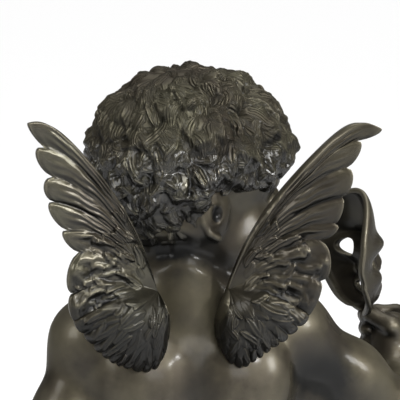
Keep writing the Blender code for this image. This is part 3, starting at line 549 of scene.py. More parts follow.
# %% Model the figure's skin
def figure_clay():
    c = Clay()
    drapery(c)
    torso(c)
    leg(c, HIP_L, KNEE_L, ANKLE_L, HEEL_L, TOE_L, 1)
    leg(c, HIP_R, KNEE_R, ANKLE_R, HEEL_R, TOE_R, -1)
    arm(c, SHOULDER_L, ELBOW_L, WRIST_L, ARM_RADIUS)
    arm(c, SHOULDER_R, ELBOW_R, WRIST_R, ARM_RADIUS)
    right_hand(c)
    left_hand(c)
    head(c)
    return c.lumps


def needs_detail(p):
    """Points of the face, ears and hands, where the skin is split finer."""
    head_near = ((p - np.array(HEAD_AT)) ** 2).sum(1) < 12.5 ** 2
    near = head_near & (p[:, 2] > HEAD_AT[2] - 10.5)
    for hand in (FIST_AT, PALM_AT):
        near |= ((p - np.array(hand)) ** 2).sum(1) < 4.6 ** 2
    return near


def on_base(mesh):
    """From parts to metres, with the soles where their solid has them."""
    mesh.transform(Matrix.Translation((0, 0, SOLES)) @ Matrix.Scale(PART, 4))
    return mesh


FIGURE_VOXEL = 0.46
figure_mesh = modelled(figure_clay(), FIGURE_VOXEL, needs_detail)
print("figure skin:", len(figure_mesh.polygons), "faces")

# %% [markdown]
# ## The hair
# The hair is a cap of short waved locks lying row under row from the crown:
# each is narrow at its root and thick at its lifted tip. Round swells gather
# them into curls, and ragged layers leave dark pits under their edges. The
# cap is calm and matt, the locks below it are bold and waxed, and the nape's
# are small. A fine ball takes the skull's shape, each lock raises its own
# small dome, and the highest dome wins.

# %% Lock sizes
HAIR_CENTRE, HAIR_RADII = np.array((0, -0.1, 2.1)), np.array((7.0, 8.5, 7.5))
NAPE_LENGTH = 10.6
CROWN_TILT = 17.0
CROWN_FRAME = np.array(Matrix.Rotation(math.radians(-CROWN_TILT), 3, "X"))
CLUMPS = [(52, 3.0, 0.9), (170, 1.5, 0.55)]
LAYER_STEP, LAYER_HEIGHT = 0.42, 0.52
ROW_STEP, LOCK_STEP = 0.13, 0.72
LOCK_HALF_WIDTH, LOCK_LENGTH, LOCK_HEIGHT = 0.5, 2.2, 0.46
CAP_EDGE, CAP_CALM = (1.8, 4.4), 0.35
VALLEY, CURL_SWIRL = 0.12, 1.1
HAIR_RINGS, HAIR_SPOKES = 220, 440
RAGGED = [(0.25, 2, 0.7), (0.16, 5, 2.0), (0.16, 14, 0.0), (0.15, 25, 1.0), (0.08, 43, 0.4)]
HAIR_REACH, HAIR_OVERLAP = 150.0, -0.5
NUDGE, NAPE_FADE = 0.02, 5.0


def soft(x, a, b):
    t = np.clip((x - a) / (b - a), 0, 1)
    return t * t * (3 - 2 * t)


def spread(count):
    """Golden-angle spread of directions, shaken a little so that no rows show."""
    i = np.arange(count)
    h = 1 - 2 * (i + 0.5) / count + 0.02 * np.sin(41.0 * i)
    ring = np.sqrt(np.maximum(0.0, 1 - h * h))
    a = i * math.pi * (3 - math.sqrt(5)) + 0.16 * np.sin(17.3 * i)
    return np.stack([ring * np.cos(a), ring * np.sin(a), h], 1)


def skull(n):
    """Skull points for directions n; below its middle the cap runs down the nape."""
    radii = np.repeat(HAIR_RADII[None], len(n), 0)
    radii[:, 2] = np.where(n[:, 2] < 0, NAPE_LENGTH, HAIR_RADII[2])
    return HAIR_CENTRE + radii * n


def hair_line(p):
    """Height above the hairline, in parts."""
    ys, zs = zip(*HAIRLINE)
    return p[:, 2] - np.interp(p[:, 1], ys, zs)


def from_crown(polar, around):
    """Directions at an angle from the crown, which leans towards the back of the head."""
    n = np.stack([np.sin(polar) * np.cos(around), np.sin(polar) * np.sin(around), np.cos(polar)], 1)
    return n @ CROWN_FRAME.T


def neighbour_mean(values, edges, count):
    a, b = edges.T
    return (np.bincount(a, values[b], count) + np.bincount(b, values[a], count)) / np.maximum(
        np.bincount(a, minlength=count) + np.bincount(b, minlength=count), 1)


def mesh_edges(mesh):
    edges = np.empty(len(mesh.edges) * 2, dtype=np.int64)
    mesh.edges.foreach_get("vertices", edges)
    return edges.reshape(-1, 2)


LOCK_ROWS = int(math.radians(HAIR_REACH) / ROW_STEP)
print("rows of locks:", LOCK_ROWS, "over", [c[0] for c in CLUMPS], "swells")


# %% Locks
def clump_height(base):
    """Round swells, large and small, that gather the locks into curls with pits between."""
    total = np.zeros(len(base))
    for count, wide, tall in CLUMPS:
        height = np.zeros(len(base))
        for i, at in enumerate(skull(spread(count))):
            radius = wide * (1 + 0.2 * math.sin(7.7 * i))
            r = np.sqrt(((base - at) ** 2).sum(1)) / radius
            top = tall * (1 + 0.3 * math.sin(4.9 * i))
            height = np.maximum(height, top * np.clip(1 - r * r, 0, 1) ** 0.9)
        total += height
    return total


def layer_height(n):
    """Long overlapping layers, each thickest along its ragged lower edge."""
    x, y, z = (n @ CROWN_FRAME).T
    polar, around = np.arccos(np.clip(z, -1, 1)), np.arctan2(y, x)
    ragged = sum(size * np.sin(times * around + start) for size, times, start in RAGGED)
    share = polar / LAYER_STEP + ragged
    share = share - np.floor(share)
    return LAYER_HEIGHT * share ** 1.6 * soft(1 - share, 0.0, 0.22) * soft(polar, 0.3, 0.6)


def lock_places():
    """Roots of the locks, row under row from the crown, each a little out of line."""
    polar, around, turn = [], [], []
    for row in range(LOCK_ROWS):
        angle = (row + 0.35) * ROW_STEP
        count = max(4, int(2 * math.pi * 7.6 * math.sin(angle) / LOCK_STEP))
        k = np.arange(count)
        seed = k + 57.0 * row
        polar.append(angle + ROW_STEP * (0.5 * np.sin(12.9 * seed) + 0.3 * np.sin(4.1 * seed)))
        around.append(2 * math.pi * (k + 0.5 * row + 0.28 * np.sin(8.3 * seed)) / count)
    return np.concatenate(polar), np.concatenate(around)


def lock_rise(q, way, side, i, wide, long, wavy=1.0):
    """One waved lock: narrow at its root, thick at its lifted, hooked tip."""
    size = 1.0 + 0.24 * math.sin(9.7 * i) + 0.12 * math.sin(4.3 * i)
    wide, long = wide * size, long * size
    t = (q @ way) / long
    phase = 2 * math.pi * 0.37 * i
    wave = 0.4 * wavy * (np.sin(4.7 * t + phase) - math.sin(phase))
    hook = 1.5 * wavy * math.sin(23.1 * i) * np.clip(t - 0.4, 0, 1) ** 2
    inside = (t > 0) & (t < 1)
    tip = np.sqrt(np.clip(1 - (np.clip(t - 0.6, 0, 1) / 0.4) ** 2, 0, 1))
    taper = np.sqrt(np.clip(t / 0.3, 0.05, 1)) * tip
    across = ((q @ side) / wide + wave + hook) / np.maximum(taper, 0.08)
    dome = np.clip(1 - across ** 2, 0, 1) ** 0.8 * inside
    grooves = 1 + 0.17 * np.cos(2 * math.pi * 1.4 * across + 0.9 * i)
    lift = 0.3 + 0.7 * np.clip(t, 0, 1) ** 1.2
    return (lift + 0.3 * math.sin(3.3 * i)) * dome * grooves, across


def higher_of(old, new, valley):
    """The higher of two surfaces, with the valley where they meet a little filled."""
    h = np.clip(0.5 + 0.5 * (new - old) / valley, 0, 1)
    return old + (new - old) * h + valley * h * (1 - h)


def curled_ways(starts, roots, tips, kept):
    """Each lock's number, direction and crosswise direction, swirled round the nearest curl."""
    curls = skull(spread(CLUMPS[1][0]))
    for i in np.nonzero(kept)[0]:
        way = unit(tips[i] - roots[i])
        curl = int(np.argmin(((curls - roots[i]) ** 2).sum(1)))
        round_way = np.cross(starts[i], roots[i] - curls[curl])
        hand = CURL_SWIRL if math.sin(5.9 * curl) > 0 else -CURL_SWIRL
        way = unit(way + hand * round_way / (np.linalg.norm(round_way) + 0.3))
        side = unit(np.cross(starts[i], way))
        swirl = 0.3 * math.sin(7.9 * i) + 0.2 * math.sin(3.1 * i)
        ahead, over = math.cos(swirl), math.sin(swirl)
        yield i, way * ahead + side * over, side * ahead - way * over


def lock_height(base):
    """Height of the locks over the skull, and each point's place across its strands."""
    polar, around = lock_places()
    starts, ahead = from_crown(polar, around), from_crown(polar + NUDGE, around)
    roots, tips = skull(starts), skull(ahead)
    height, strand = np.full(len(base), 0.0), np.zeros(len(base))
    ends = roots + (tips - roots) * LOCK_LENGTH / (8 * NUDGE)
    for i, way, side in curled_ways(starts, roots, tips, hair_line(ends) > HAIR_OVERLAP):
        near = np.nonzero(((base - roots[i]) ** 2).sum(1) < (1.35 * LOCK_LENGTH) ** 2)[0]
        if not len(near):
            continue
        low = float(np.clip((0.0 - roots[i][2]) / NAPE_FADE, 0, 1))
        cap = float(soft(roots[i][2], *CAP_EDGE))
        wide, long = LOCK_HALF_WIDTH * (1 - 0.35 * low), LOCK_LENGTH * (1 - 0.25 * low)
        rise, across = lock_rise(base[near] - roots[i], way, side, i, wide, long)
        rise = rise * LOCK_HEIGHT * (1 - 0.4 * low) * (1 - CAP_CALM * cap)
        strand[near] = np.where(rise > height[near], across + 3.0 * i, strand[near])
        height[near] = np.where(rise > 0, higher_of(height[near], rise, VALLEY), height[near])
    return height, strand


def hair_mesh():
    bm = bmesh.new()
    bmesh.ops.create_grid(bm, x_segments=HAIR_SPOKES, y_segments=HAIR_RINGS, size=0.5)
    co = np.array([v.co[:] for v in bm.verts])
    share = co[:, 1] + 0.5
    polar = np.radians(np.interp(share, (0, 0.95, 1), (0, HAIR_REACH, 180)))
    n = from_crown(polar, 2 * math.pi * (co[:, 0] + 0.5))
    for vert, at in zip(bm.verts, n):
        vert.co = at
    welded(bm)
    mesh = to_mesh(bm, "hair")
    n = mesh_points(mesh)
    base = skull(n)
    locks, strand = lock_height(base)
    edges = mesh_edges(mesh)
    cap = soft(base[:, 2], *CAP_EDGE)
    calm = locks
    for _ in range(4):
        calm = neighbour_mean(calm, edges, len(n))
    locks = 0.6 * locks + 0.4 * neighbour_mean(locks, edges, len(n))
    locks = locks + (calm - locks) * 0.45 * cap
    above = hair_line(base)
    low = soft(-base[:, 2], 0.0, NAPE_FADE)
    floor = -2.2 * (1 - soft(above, -0.6, 0.8))
    swell = (clump_height(base) + layer_height(n)) * (1 - 0.5 * low) * soft(above, -0.3, 1.5)
    rise = swell + np.where(locks > 0.05, locks, floor)
    out = base + n * rise[:, None]
    set_points(mesh, out @ head_turn().T + np.array(HEAD_AT))
    keep_values(mesh, "strand", strand)
    keep_values(mesh, "matt", np.maximum(cap, 0.75 * low))
    return mesh


hair = hair_mesh()
print("hair:", len(hair.polygons), "faces")

# %% [markdown]
# ## The wings
# Each wing is a thin casting like an opened fan: seven long vanes with round
# tips reach up and out, and a thick lower lobe has twelve narrow ones. All
# shafts leave one point by the shoulder blade and bend outward, and small
# curled feathers lie over them in ragged rows. A grid is walled with solidify
# and each point is moved along that fan.

# %% Wing sizes
WINGS_MIDDLE = 1.1
WING_POLE = (3.2, 80.0)
VANES, LONG_VANES = 19, 7
RIM_LEFT = [
    (14.8, 95.3), (15.2, 95.0), (13.8, 93.3), (14.5, 92.4), (13.0, 90.7),
    (13.8, 89.7), (12.8, 88.5), (13.2, 87.5),
    (11.6, 85.9), (11.9, 85.1), (10.5, 83.9), (11.6, 81.7), (10.8, 80.3), (11.4, 79.0), (10.4, 77.4),
]
FAN_LEFT = [(7, 10.4, 77.4), (9, 9.2, 75.4), (11, 7.7, 74.0), (13.5, 6.0, 73.1), (15.5, 4.0, 72.6),
            (17, 2.7, 73.3), (18.2, 2.0, 75.4), (19, 1.9, 77.0)]
RIM_RIGHT = [
    (14.9, 94.7), (15.5, 94.3), (13.7, 93.5), (13.9, 92.5), (12.9, 91.1),
    (13.4, 89.9), (12.6, 88.5), (12.6, 87.1),
    (12.0, 86.1), (12.1, 85.3), (10.8, 84.6), (11.8, 82.6), (11.0, 80.9), (10.8, 79.1), (9.8, 77.5),
]
FAN_RIGHT = [(7, 9.8, 77.5), (9, 8.6, 75.8), (11, 7.1, 74.6), (13.5, 5.6, 73.4), (15.5, 4.3, 72.8),
             (17, 3.1, 73.7), (18.2, 2.4, 75.5), (19, 2.3, 76.9)]
SHAFT_SHARE, SHAFT_LIFT, LIFTED_VANES = (0.28, 0.5), 6.8, 10
WING_BEHIND, WING_SWEEP, WING_RISE = 7.2, 0.35, 0.12
LOBE_PUFF = 1.9
WING_SEAT, SEAT_REACH = (4.5, 77.1), 4.2
FEATHER_ROWS = [
    (0.84, 6.2, 19), (0.72, 5.6, 19), (0.6, 5.0, 19), (0.48, 4.0, 19), (0.37, 0.4, 19),
    (0.27, 0.6, 19), (0.17, 1.0, 19),
]
FEATHER_STEP, FEATHER_CURL = 0.85, 0.55
FEATHER_HALF_WIDTH, FEATHER_LENGTH, FEATHER_RISE = 0.62, 2.7, 0.44
LEAD_ARCH = {1: 0.8, -1: 1.15}
STEPS_PER_VANE, STEPS_ALONG_VANE, ROW_POINTS = 13, 150, 120


def through(knots, x):
    """Smooth curve through the knots' second and third values, read at x."""
    k = np.array(knots, float)
    i = np.clip(np.searchsorted(k[:, 0], x, side="right") - 1, 0, len(k) - 2)
    slope = np.gradient(k[:, 1:], k[:, 0], axis=0)
    wide = (k[i + 1, 0] - k[i, 0])[:, None]
    t = ((x - k[i, 0])[:, None]) / wide
    ease = t * t * (3 - 2 * t)
    out = k[i, 1:] * (1 - ease) + k[i + 1, 1:] * ease
    return out + wide * (t * (1 - t) ** 2 * slope[i] - t * t * (1 - t) * slope[i + 1])


def across_vane(u):
    """Share of the way across its own vane, and a half round that is 1 in its middle."""
    share = u - np.floor(np.minimum(u, VANES - 1e-6))
    return share, np.sqrt(np.clip(1 - (2 * share - 1) ** 2, 0, 1))


def rim_points(side, u):
    """The wing's rim: even curve through the lobes, and the true rim with its notches."""
    rim, fan = (RIM_LEFT, FAN_LEFT) if side > 0 else (RIM_RIGHT, FAN_RIGHT)
    rim = np.array(rim)
    k = np.clip(np.floor(u).astype(int), 0, LONG_VANES - 1)
    start, lobe, end = rim[2 * k], rim[2 * k + 1], rim[2 * k + 2]
    s, bow = (values[:, None] for values in across_vane(u))
    long_rim = start * (1 - s) + end * s + (lobe - (start + end) / 2) * bow
    even = [(2 * i + 1, *rim[2 * i + 1]) for i in range(LONG_VANES)]
    even = [(0, *rim[0])] + [(0.5 * a, b, c) for a, b, c in even] + fan[1:]
    smooth = through(even, u)
    small = smooth + (np.array(WING_POLE) - smooth) * (0.045 * (1 - bow))
    is_long = (u < LONG_VANES)[:, None]
    return smooth, np.where(is_long, long_rim, small)


print("wing vanes:", VANES)


# %% Feather relief
def flat_points(side, u, v):
    """A wing laid flat: distance out and height for a vane count and a way from pole to rim."""
    smooth, rim = rim_points(side, u)
    pole, w = np.array(WING_POLE), v[:, None]
    along_shaft = (SHAFT_SHARE[0] + (SHAFT_SHARE[1] - SHAFT_SHARE[0]) * soft(u, 0, LONG_VANES))[:, None]
    bend = pole + along_shaft * (smooth - pole)
    bend[:, 1] += SHAFT_LIFT * np.clip(1 - u / LIFTED_VANES, 0, 1) ** 1.3
    flat = pole * (1 - w) ** 2 + 2 * w * (1 - w) * bend + w ** 2 * smooth
    flat = flat + (rim - smooth) * soft(v, 0.5, 1.0)[:, None] ** 1.5
    flat[:, 1] += LEAD_ARCH[side] * (1 - soft(u, 0.0, 1.6)) * np.sin(np.pi * v ** 5)
    return flat


def small_feathers(side, flat):
    """Rise of the small curved feathers that lie in ragged rows over a wing."""
    out = np.zeros(len(flat))
    for row, (v, first, last) in enumerate(FEATHER_ROWS):
        u = np.linspace(first, last, ROW_POINTS)
        line, ahead = (flat_points(side, u, np.full(ROW_POINTS, w)) for w in (v, v + 0.05))
        gone = np.concatenate([[0.0], np.cumsum(np.linalg.norm(np.diff(line, axis=0), axis=1))])
        count = max(3, int(gone[-1] / FEATHER_STEP))
        for k in range(count):
            i = k + 41.0 * row + 500 * side
            place = (k + 0.5 * (row % 2) + 0.3 * math.sin(6.1 * i)) / count
            at = np.interp(place * gone[-1], gone, np.arange(ROW_POINTS))
            j = int(np.clip(at, 0, ROW_POINTS - 2))
            root = line[j] + (line[j + 1] - line[j]) * (at - j)
            way = (ahead[j] - line[j]) / (np.linalg.norm(ahead[j] - line[j]) + 1e-9)
            swirl = 0.22 * math.sin(5.3 * i) + FEATHER_CURL * math.sin(1.9 * row + at / 11)
            turn = np.array(((math.cos(swirl), -math.sin(swirl)), (math.sin(swirl), math.cos(swirl))))
            way = turn @ way
            q = flat - root
            near = np.nonzero((q ** 2).sum(1) < (1.4 * FEATHER_LENGTH) ** 2)[0]
            grow = 0.55 + 0.6 * v
            rise, _ = lock_rise(q[near], way, np.array((-way[1], way[0])), i,
                                FEATHER_HALF_WIDTH * grow, FEATHER_LENGTH * grow, 0.45)
            higher = higher_of(out[near], rise * FEATHER_RISE * grow, 0.1)
            out[near] = np.where(rise > 0, higher, out[near])
    return out


def feather_relief(u, v, lobe, lead, small):
    """Height of vanes, ridges, strands and small covering feathers on a wing's sheet."""
    share, bow = across_vane(u)
    plain = 1 - lobe
    out = plain * (0.3 * bow ** 0.8 + 0.22 * (0.5 - share)) * soft(v, 0.2, 0.65)
    wave = share + 0.09 * np.sin(9 * v + 2.0 * np.floor(u)) + 0.04 * np.sin(31 * v + u)
    out += 0.07 * plain * np.cos(6 * np.pi * wave) * soft(v, 0.2, 0.5) * (1 - soft(v, 0.75, 0.98))
    crescent = soft(u, 3.6, 4.6) * (1 - soft(u, 6.6, 7.4))
    out -= 0.4 * crescent * np.exp(-((share - 0.62) / 0.2) ** 2 - ((v - 0.72) / 0.12) ** 2)
    out += 0.1 * lead * np.cos(2 * np.pi * 3.0 * u + 5 * v) * (1 - soft(v, 0.75, 1.0))
    scallop = lobe * 0.16 * bow * soft(v, 0.7, 0.95)
    lip = np.exp(-((v - 0.965) / 0.02) ** 2)
    return out + scallop + small * soft(v, 0.03, 0.1) * (1 - soft(v, 0.93, 1.0)) + 0.04 * lip


def wing_points(side, u, v, back):
    """Points of a wing: u counts vanes from the leading edge, v runs from pole to rim."""
    lobe = soft(u, LONG_VANES - 1, LONG_VANES + 1.5)
    lead = (1 - soft(u, 0.6, 1.9)) * soft(v, 0.0, 0.2)
    flat = flat_points(side, u, v)
    out, up = flat.T
    behind = WING_BEHIND + WING_SWEEP * (out - WING_POLE[0]) + WING_RISE * (up - WING_POLE[1])
    thick = WING_EDGE / PART + 0.8 * (1 - v) + 0.75 * lead * (1 - 0.75 * v) + lobe * np.sin(np.pi * v)
    relief = feather_relief(u, v, lobe, lead, small_feathers(side, flat))
    away = thick / 2 + relief + lobe * LOBE_PUFF * np.sin(np.pi * v ** 0.8) ** 0.8
    near = -thick / 2 - 0.3 * relief + 0.5 * lobe * np.sin(np.pi * v)
    seat = SEAT_REACH * np.exp(-((out - WING_SEAT[0]) ** 2 + (up - WING_SEAT[1]) ** 2) / 2.6)
    y = behind + np.where(back > 0.5, away, near - seat)
    return np.stack([WINGS_MIDDLE + side * out, y, up], 1)


def wing_mesh(name, side):
    bm = bmesh.new()
    bmesh.ops.create_grid(bm, x_segments=VANES * STEPS_PER_VANE, y_segments=STEPS_ALONG_VANE, size=0.5)
    bmesh.ops.solidify(bm, geom=bm.faces[:], thickness=0.1)
    mesh = to_mesh(bm, name)
    p = mesh_points(mesh)
    u = np.clip(p[:, 0] + 0.5, 0, 1) * VANES
    v = np.clip(p[:, 1] + 0.5, 0, 1)
    set_points(mesh, wing_points(side, u, v, (p[:, 2] > p[:, 2].mean()).astype(float)))
    bm = bmesh.new()
    bm.from_mesh(mesh)
    welded(bm)
    return to_mesh(bm, name)


wings = {"wing_left": wing_mesh("feathers_left", 1), "wing_right": wing_mesh("feathers_right", -1)}
print("wings:", [len(m.polygons) for m in wings.values()], "faces")

# %% [markdown]
# ## The mask
# The mask is a thin shell with a plain laughing face of the old stage: raised
# brows, a short nose, full cheeks, pierced eyes and an open mouth. A grid is
# wrapped into rings and spokes, domed by a formula, walled, and then pierced.

# %% Mask sizes
MASK_FROM_FIST = (3.0, 0.6, 8.2)
MASK_TURN, MASK_LEAN, MASK_ROLL = -73.0, -5.0, -12.0
MASK_HALF_WIDTH, MASK_HALF_HEIGHT = 4.5, 6.3
MASK_DOME, MASK_WRAP, MASK_JAW = 1.35, 2.2, 0.25
MASK_EYE, MASK_EYE_HALF = (2.25, -0.25), (0.85, 0.9)
MASK_MOUTH, MASK_MOUTH_HALF = (0.0, -3.7), (1.3, 0.5)
MASK_RINGS, MASK_SPOKES = 70, 180


def bump(x, z, cx, cz, rx, rz):
    return np.exp(-((x - cx) / rx) ** 2 - ((z - cz) / rz) ** 2)


def mask_depth(x, z):
    """How far the face stands before its crown and chin; its sides wrap back round the head."""
    k = np.sqrt((x / MASK_HALF_WIDTH) ** 2 + (z / MASK_HALF_HEIGHT) ** 2)
    side = np.abs(x)
    eye_x, eye_z = MASK_EYE
    mouth_z = MASK_MOUTH[1]
    wrap = MASK_WRAP * (1 - 0.65 * soft(-z / MASK_HALF_HEIGHT, 0.05, 0.8))
    d = MASK_DOME * (1 - np.clip(k, 0, 1) ** 2.3) ** 0.62 - wrap * (x / MASK_HALF_WIDTH) ** 2
    d = d + 0.85 * bump(side, z, eye_x - 0.2, eye_z + 1.5, 1.5, 0.9)
    d = d + 1.1 * bump(x, z, 0, -1.5, 0.75, 0.9) + 0.7 * bump(x, z, 0, 0.1, 0.5, 1.3)
    d = d + 0.45 * bump(side, z, 0.8, -1.8, 0.45, 0.45)
    d = d + 0.75 * bump(side, z, 2.5, -2.1, 1.1, 1.1)
    d = d - 0.45 * bump(side, z, eye_x, eye_z, 1.2, 0.8)
    lips = np.sqrt((x / 2.2) ** 2 + ((z - mouth_z) / 1.05) ** 2)
    d = d + 0.6 * np.exp(-((lips - 1.0) / 0.28) ** 2)
    return d + 0.9 * bump(x, z, 0, mouth_z - 1.8, 1.7, 1.0)


print("mask height:", round(2 * MASK_HALF_HEIGHT * PART * 1000, 1), "mm")


# %% Mask shell and holes
def hole_tool(centre, half):
    """Oval bar that pierces the mask's wall."""
    bm = bmesh.new()
    bmesh.ops.create_cone(bm, segments=48, radius1=1, radius2=1, depth=4 * (MASK_DOME + MASK_WRAP),
                          cap_ends=True)
    turn = Matrix.Translation((centre[0], 0, centre[1])) @ Matrix.Rotation(math.radians(90), 4, "X")
    bmesh.ops.transform(bm, verts=bm.verts[:], matrix=turn @ Matrix.Diagonal((half[0], half[1], 1, 1)))
    return to_mesh(bm, "hole")


def pierced(mesh, tool_mesh):
    tool = linked("tool", tool_mesh)
    out = baked(mesh, "BOOLEAN", operation="DIFFERENCE", solver="EXACT", object=tool)
    bpy.data.objects.remove(tool)
    return out


def mask_mesh():
    bm = bmesh.new()
    bmesh.ops.create_grid(bm, x_segments=MASK_SPOKES, y_segments=MASK_RINGS, size=0.5)
    for vert in bm.verts:
        a, r = 2 * math.pi * (vert.co.x + 0.5), vert.co.y + 0.5
        wide = 1.0 + MASK_JAW * float(soft(-math.sin(a), 0.2, 0.9))
        vert.co = (MASK_HALF_WIDTH * r * math.cos(a) * wide, 0.0, MASK_HALF_HEIGHT * r * math.sin(a))
    bmesh.ops.remove_doubles(bm, verts=bm.verts[:], dist=WELD)
    co = np.array([v.co[:] for v in bm.verts])
    for vert, depth in zip(bm.verts, mask_depth(co[:, 0], co[:, 2])):
        vert.co.y = -float(depth)
    bmesh.ops.recalc_face_normals(bm, faces=bm.faces[:])
    if sum(f.normal.y for f in bm.faces) > 0:
        bmesh.ops.reverse_faces(bm, faces=bm.faces[:])
    wall = MASK_WALL / PART
    mesh = baked(to_mesh(bm, "mask"), "SOLIDIFY", thickness=wall, offset=-1.0, use_even_offset=True)
    eye_x, eye_z = MASK_EYE
    for centre, half in (((eye_x, eye_z), MASK_EYE_HALF), ((-eye_x, eye_z), MASK_EYE_HALF),
                         (MASK_MOUTH, MASK_MOUTH_HALF)):
        mesh = pierced(mesh, hole_tool(centre, half))
    place = Matrix.Translation(moved(FIST_AT, MASK_FROM_FIST))
    for angle, axis in ((MASK_TURN, "Z"), (MASK_LEAN, "X"), (MASK_ROLL, "Y")):
        place = place @ Matrix.Rotation(math.radians(angle), 4, axis)
    mesh.transform(place)
    return mesh


stage_mask = mask_mesh()
print("mask:", len(stage_mask.polygons), "faces")

# %% [markdown]
# ## The base
# The photograph ends at the figure's back, so the base is kept plain: a low
# turned plinth with a rounded foot, a hollow neck and a flat top. Its solid
# gives the radius and height, and the profile is spun in many more steps.


# %% Turned base
BASE_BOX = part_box("base")
BASE_RADIUS = 0.9995 * float(BASE_BOX[1][0])
BASE_HEIGHT = float(BASE_BOX[1][2])
BASE_EDGE = 0.0016
BASE_PROFILE = [
    (0.90, 1.00), (0.92, 0.92), (0.92, 0.76), (0.87, 0.66), (0.86, 0.52),
    (0.90, 0.36), (0.97, 0.30), (1.00, 0.22), (1.00, 0.00),
]


def base_mesh():
    bm = bmesh.new()
    points = [(0.0, 1.0)] + BASE_PROFILE + [(0.0, 0.0)]
    verts = [bm.verts.new((BASE_RADIUS * r, 0, BASE_HEIGHT * h)) for r, h in points]
    edges = [bm.edges.new(pair) for pair in zip(verts, verts[1:])]
    inner = [v for v in verts if v.co.x > 0 and len(v.link_edges) == 2]
    bmesh.ops.bevel(bm, geom=inner, offset=BASE_EDGE, segments=4, profile=0.5, affect="VERTICES",
                    material=-1)
    bmesh.ops.spin(bm, geom=bm.verts[:] + bm.edges[:], cent=(0, 0, 0), axis=(0, 0, 1), dvec=(0, 0, 0),
                   angle=2 * math.pi, steps=144, use_merge=True, use_duplicate=False)
    welded(bm)
    return to_mesh(bm, "base_turned")


base_turned = base_mesh()
print("base:", len(base_turned.polygons), "faces, radius", round(BASE_RADIUS * 1000, 1), "mm")

# %% [markdown]
# ## Where patina and painted shade lie
# Patina is dark in the hollows and rubbed thin on the high spots. The mesh
# itself knows which is which: each point is compared with a smoothed copy of
# the surface. Shade is painted on as well: the wings' lobes and the hair
# towards the nape are painted darker towards their lower ends, and the neck's
# crease, the lower back and the underside of the raised arm get painted
# shade in spots. One spot at the nape is worn bare. The result is kept on
# the piece as an attribute called relief.


# %% Relief attribute
def mark_relief_and_shade(mesh, scale, shade=(0.0, 0.0, 1.0), shade_and_wear_spots=(), rounds=12):
    """Stores 0 in hollows, 0.5 on even skin and 1 on high spots.

    A painted shade darkens the piece's lower end; a spot paints shade on one place, or bares it.
    """
    p, edges = mesh_points(mesh), mesh_edges(mesh)
    normal = np.empty(len(p) * 3)
    mesh.vertices.foreach_get("normal", normal)
    q = p.copy()
    for _ in range(rounds):
        mean = np.stack([neighbour_mean(q[:, k], edges, len(p)) for k in range(3)], 1)
        q = 0.4 * q + 0.6 * mean
    high = ((p - q) * normal.reshape(-1, 3)).sum(1)
    most, low, full = shade
    # Painted shade: darker towards the lower end, then painted shade or bare wear at each spot.
    darker = most * (1 - soft(p[:, 2], low, full))
    for at, wide, amount in shade_and_wear_spots:
        darker = darker + amount * np.exp(-((p - np.array(at)) ** 2).sum(1) / wide ** 2)
    value = np.clip(0.5 + high / scale - darker, 0, 1)
    keep_values(mesh, "relief", value)
    return float(value.mean())


# Painted shade: the wings are painted darker towards their lower lobes, and the hair darker towards the
# nape.
NO_SHADE, LOBE_SHADE, NAPE_SHADE = (0.0, 0.0, 1.0), (0.33, 77.5, 84.0), (0.28, 85.5, 97.0)
NAPE_WORN = [((3.3, 5.4, 84.5), 0.9, -1.1)]
# Painted shade under the neck's roll, on the underside of the raised arm and on the lower back; the
# nape's spot is worn bare.
FIGURE_SHADE_AND_WEAR = [
    ((3.8, 5.4, 82.8), 2.2, 0.26), ((1.8, 6.4, 83.0), 2.2, 0.26), ((-0.4, 6.4, 82.4), 2.2, 0.26),
    ((-2.6, 5.4, 81.6), 1.7, 0.22), ((-13.0, 2.6, 70.6), 4.2, 0.6), ((0.0, 5.6, 71.6), 3.0, 0.14),
] + NAPE_WORN
for mesh, scale, shade, shade_and_wear_spots in (
        (figure_mesh, 0.5, NO_SHADE, FIGURE_SHADE_AND_WEAR), (hair, 0.6, NAPE_SHADE, NAPE_WORN),
        (stage_mask, 0.3, NO_SHADE, ()), (wings["wing_left"], 0.4, LOBE_SHADE, ()),
        (wings["wing_right"], 0.4, LOBE_SHADE, ())):
    mean = mark_relief_and_shade(mesh, scale, shade, shade_and_wear_spots)
    on_base(mesh)
    print("relief mean", round(mean, 3))
mark_relief_and_shade(base_turned, 0.002)

# %% [markdown]
# ## Bronze
# The bronze is a metal under a thin brown wax. One node group makes its
# cloudy colour, its dark hollows with painted shade, a painted shade on its
# undersides, its rubbed edges and the height of its fine grain, with named
# inputs, and each material places it with its own values.
# The shader itself stays in the material.


# %% Patina group
CLOUDS, FLECKS, GRAINS = (26.0, 4.0, 0.6), (170.0, 3.0, 0.65), (900.0, 2.0, 0.6)
# The second span turns low relief into the dark colour: patina in the real hollows, and painted shade.
CLOUDY, HOLLOW_AND_SHADE_SPAN, HIGH = (0.42, 0.62), (0.62, 0.2), (0.72, 1.1)
# Painted shade on faces turned downward: span of the normal's height, and the least share of bronze
# colour left there.
UNDERSIDE_SHADE, UNDERSIDE_SHADE_LEAST = (-0.55, 0.2), 0.12
FLECKED_EDGE, DULL_HOLLOW, DULL_FLECK = 0.3, 0.22, 0.14


def fed(tree, socket, value):
    """A number or another node's output put into a socket."""
    if isinstance(value, (int, float)):
        socket.default_value = value
    else:
        tree.links.new(value, socket)


def set_inputs(node, values):
    for name, value in values.items():
        node.inputs[name].default_value = value


def attribute(tree, name):
    node = tree.nodes.new("ShaderNodeAttribute")
    node.attribute_name = name
    return node.outputs["Fac"]


def noise(tree, where, kind):
    node = tree.nodes.new("ShaderNodeTexNoise")
    tree.links.new(where, node.inputs["Vector"])
    set_inputs(node, dict(zip(("Scale", "Detail", "Roughness"), kind)))
    return node.outputs["Fac"]


def maths(tree, operation, *values):
    node = tree.nodes.new("ShaderNodeMath")
    node.operation = operation
    for i, value in enumerate(values):
        fed(tree, node.inputs[i], value)
    return node.outputs["Value"]


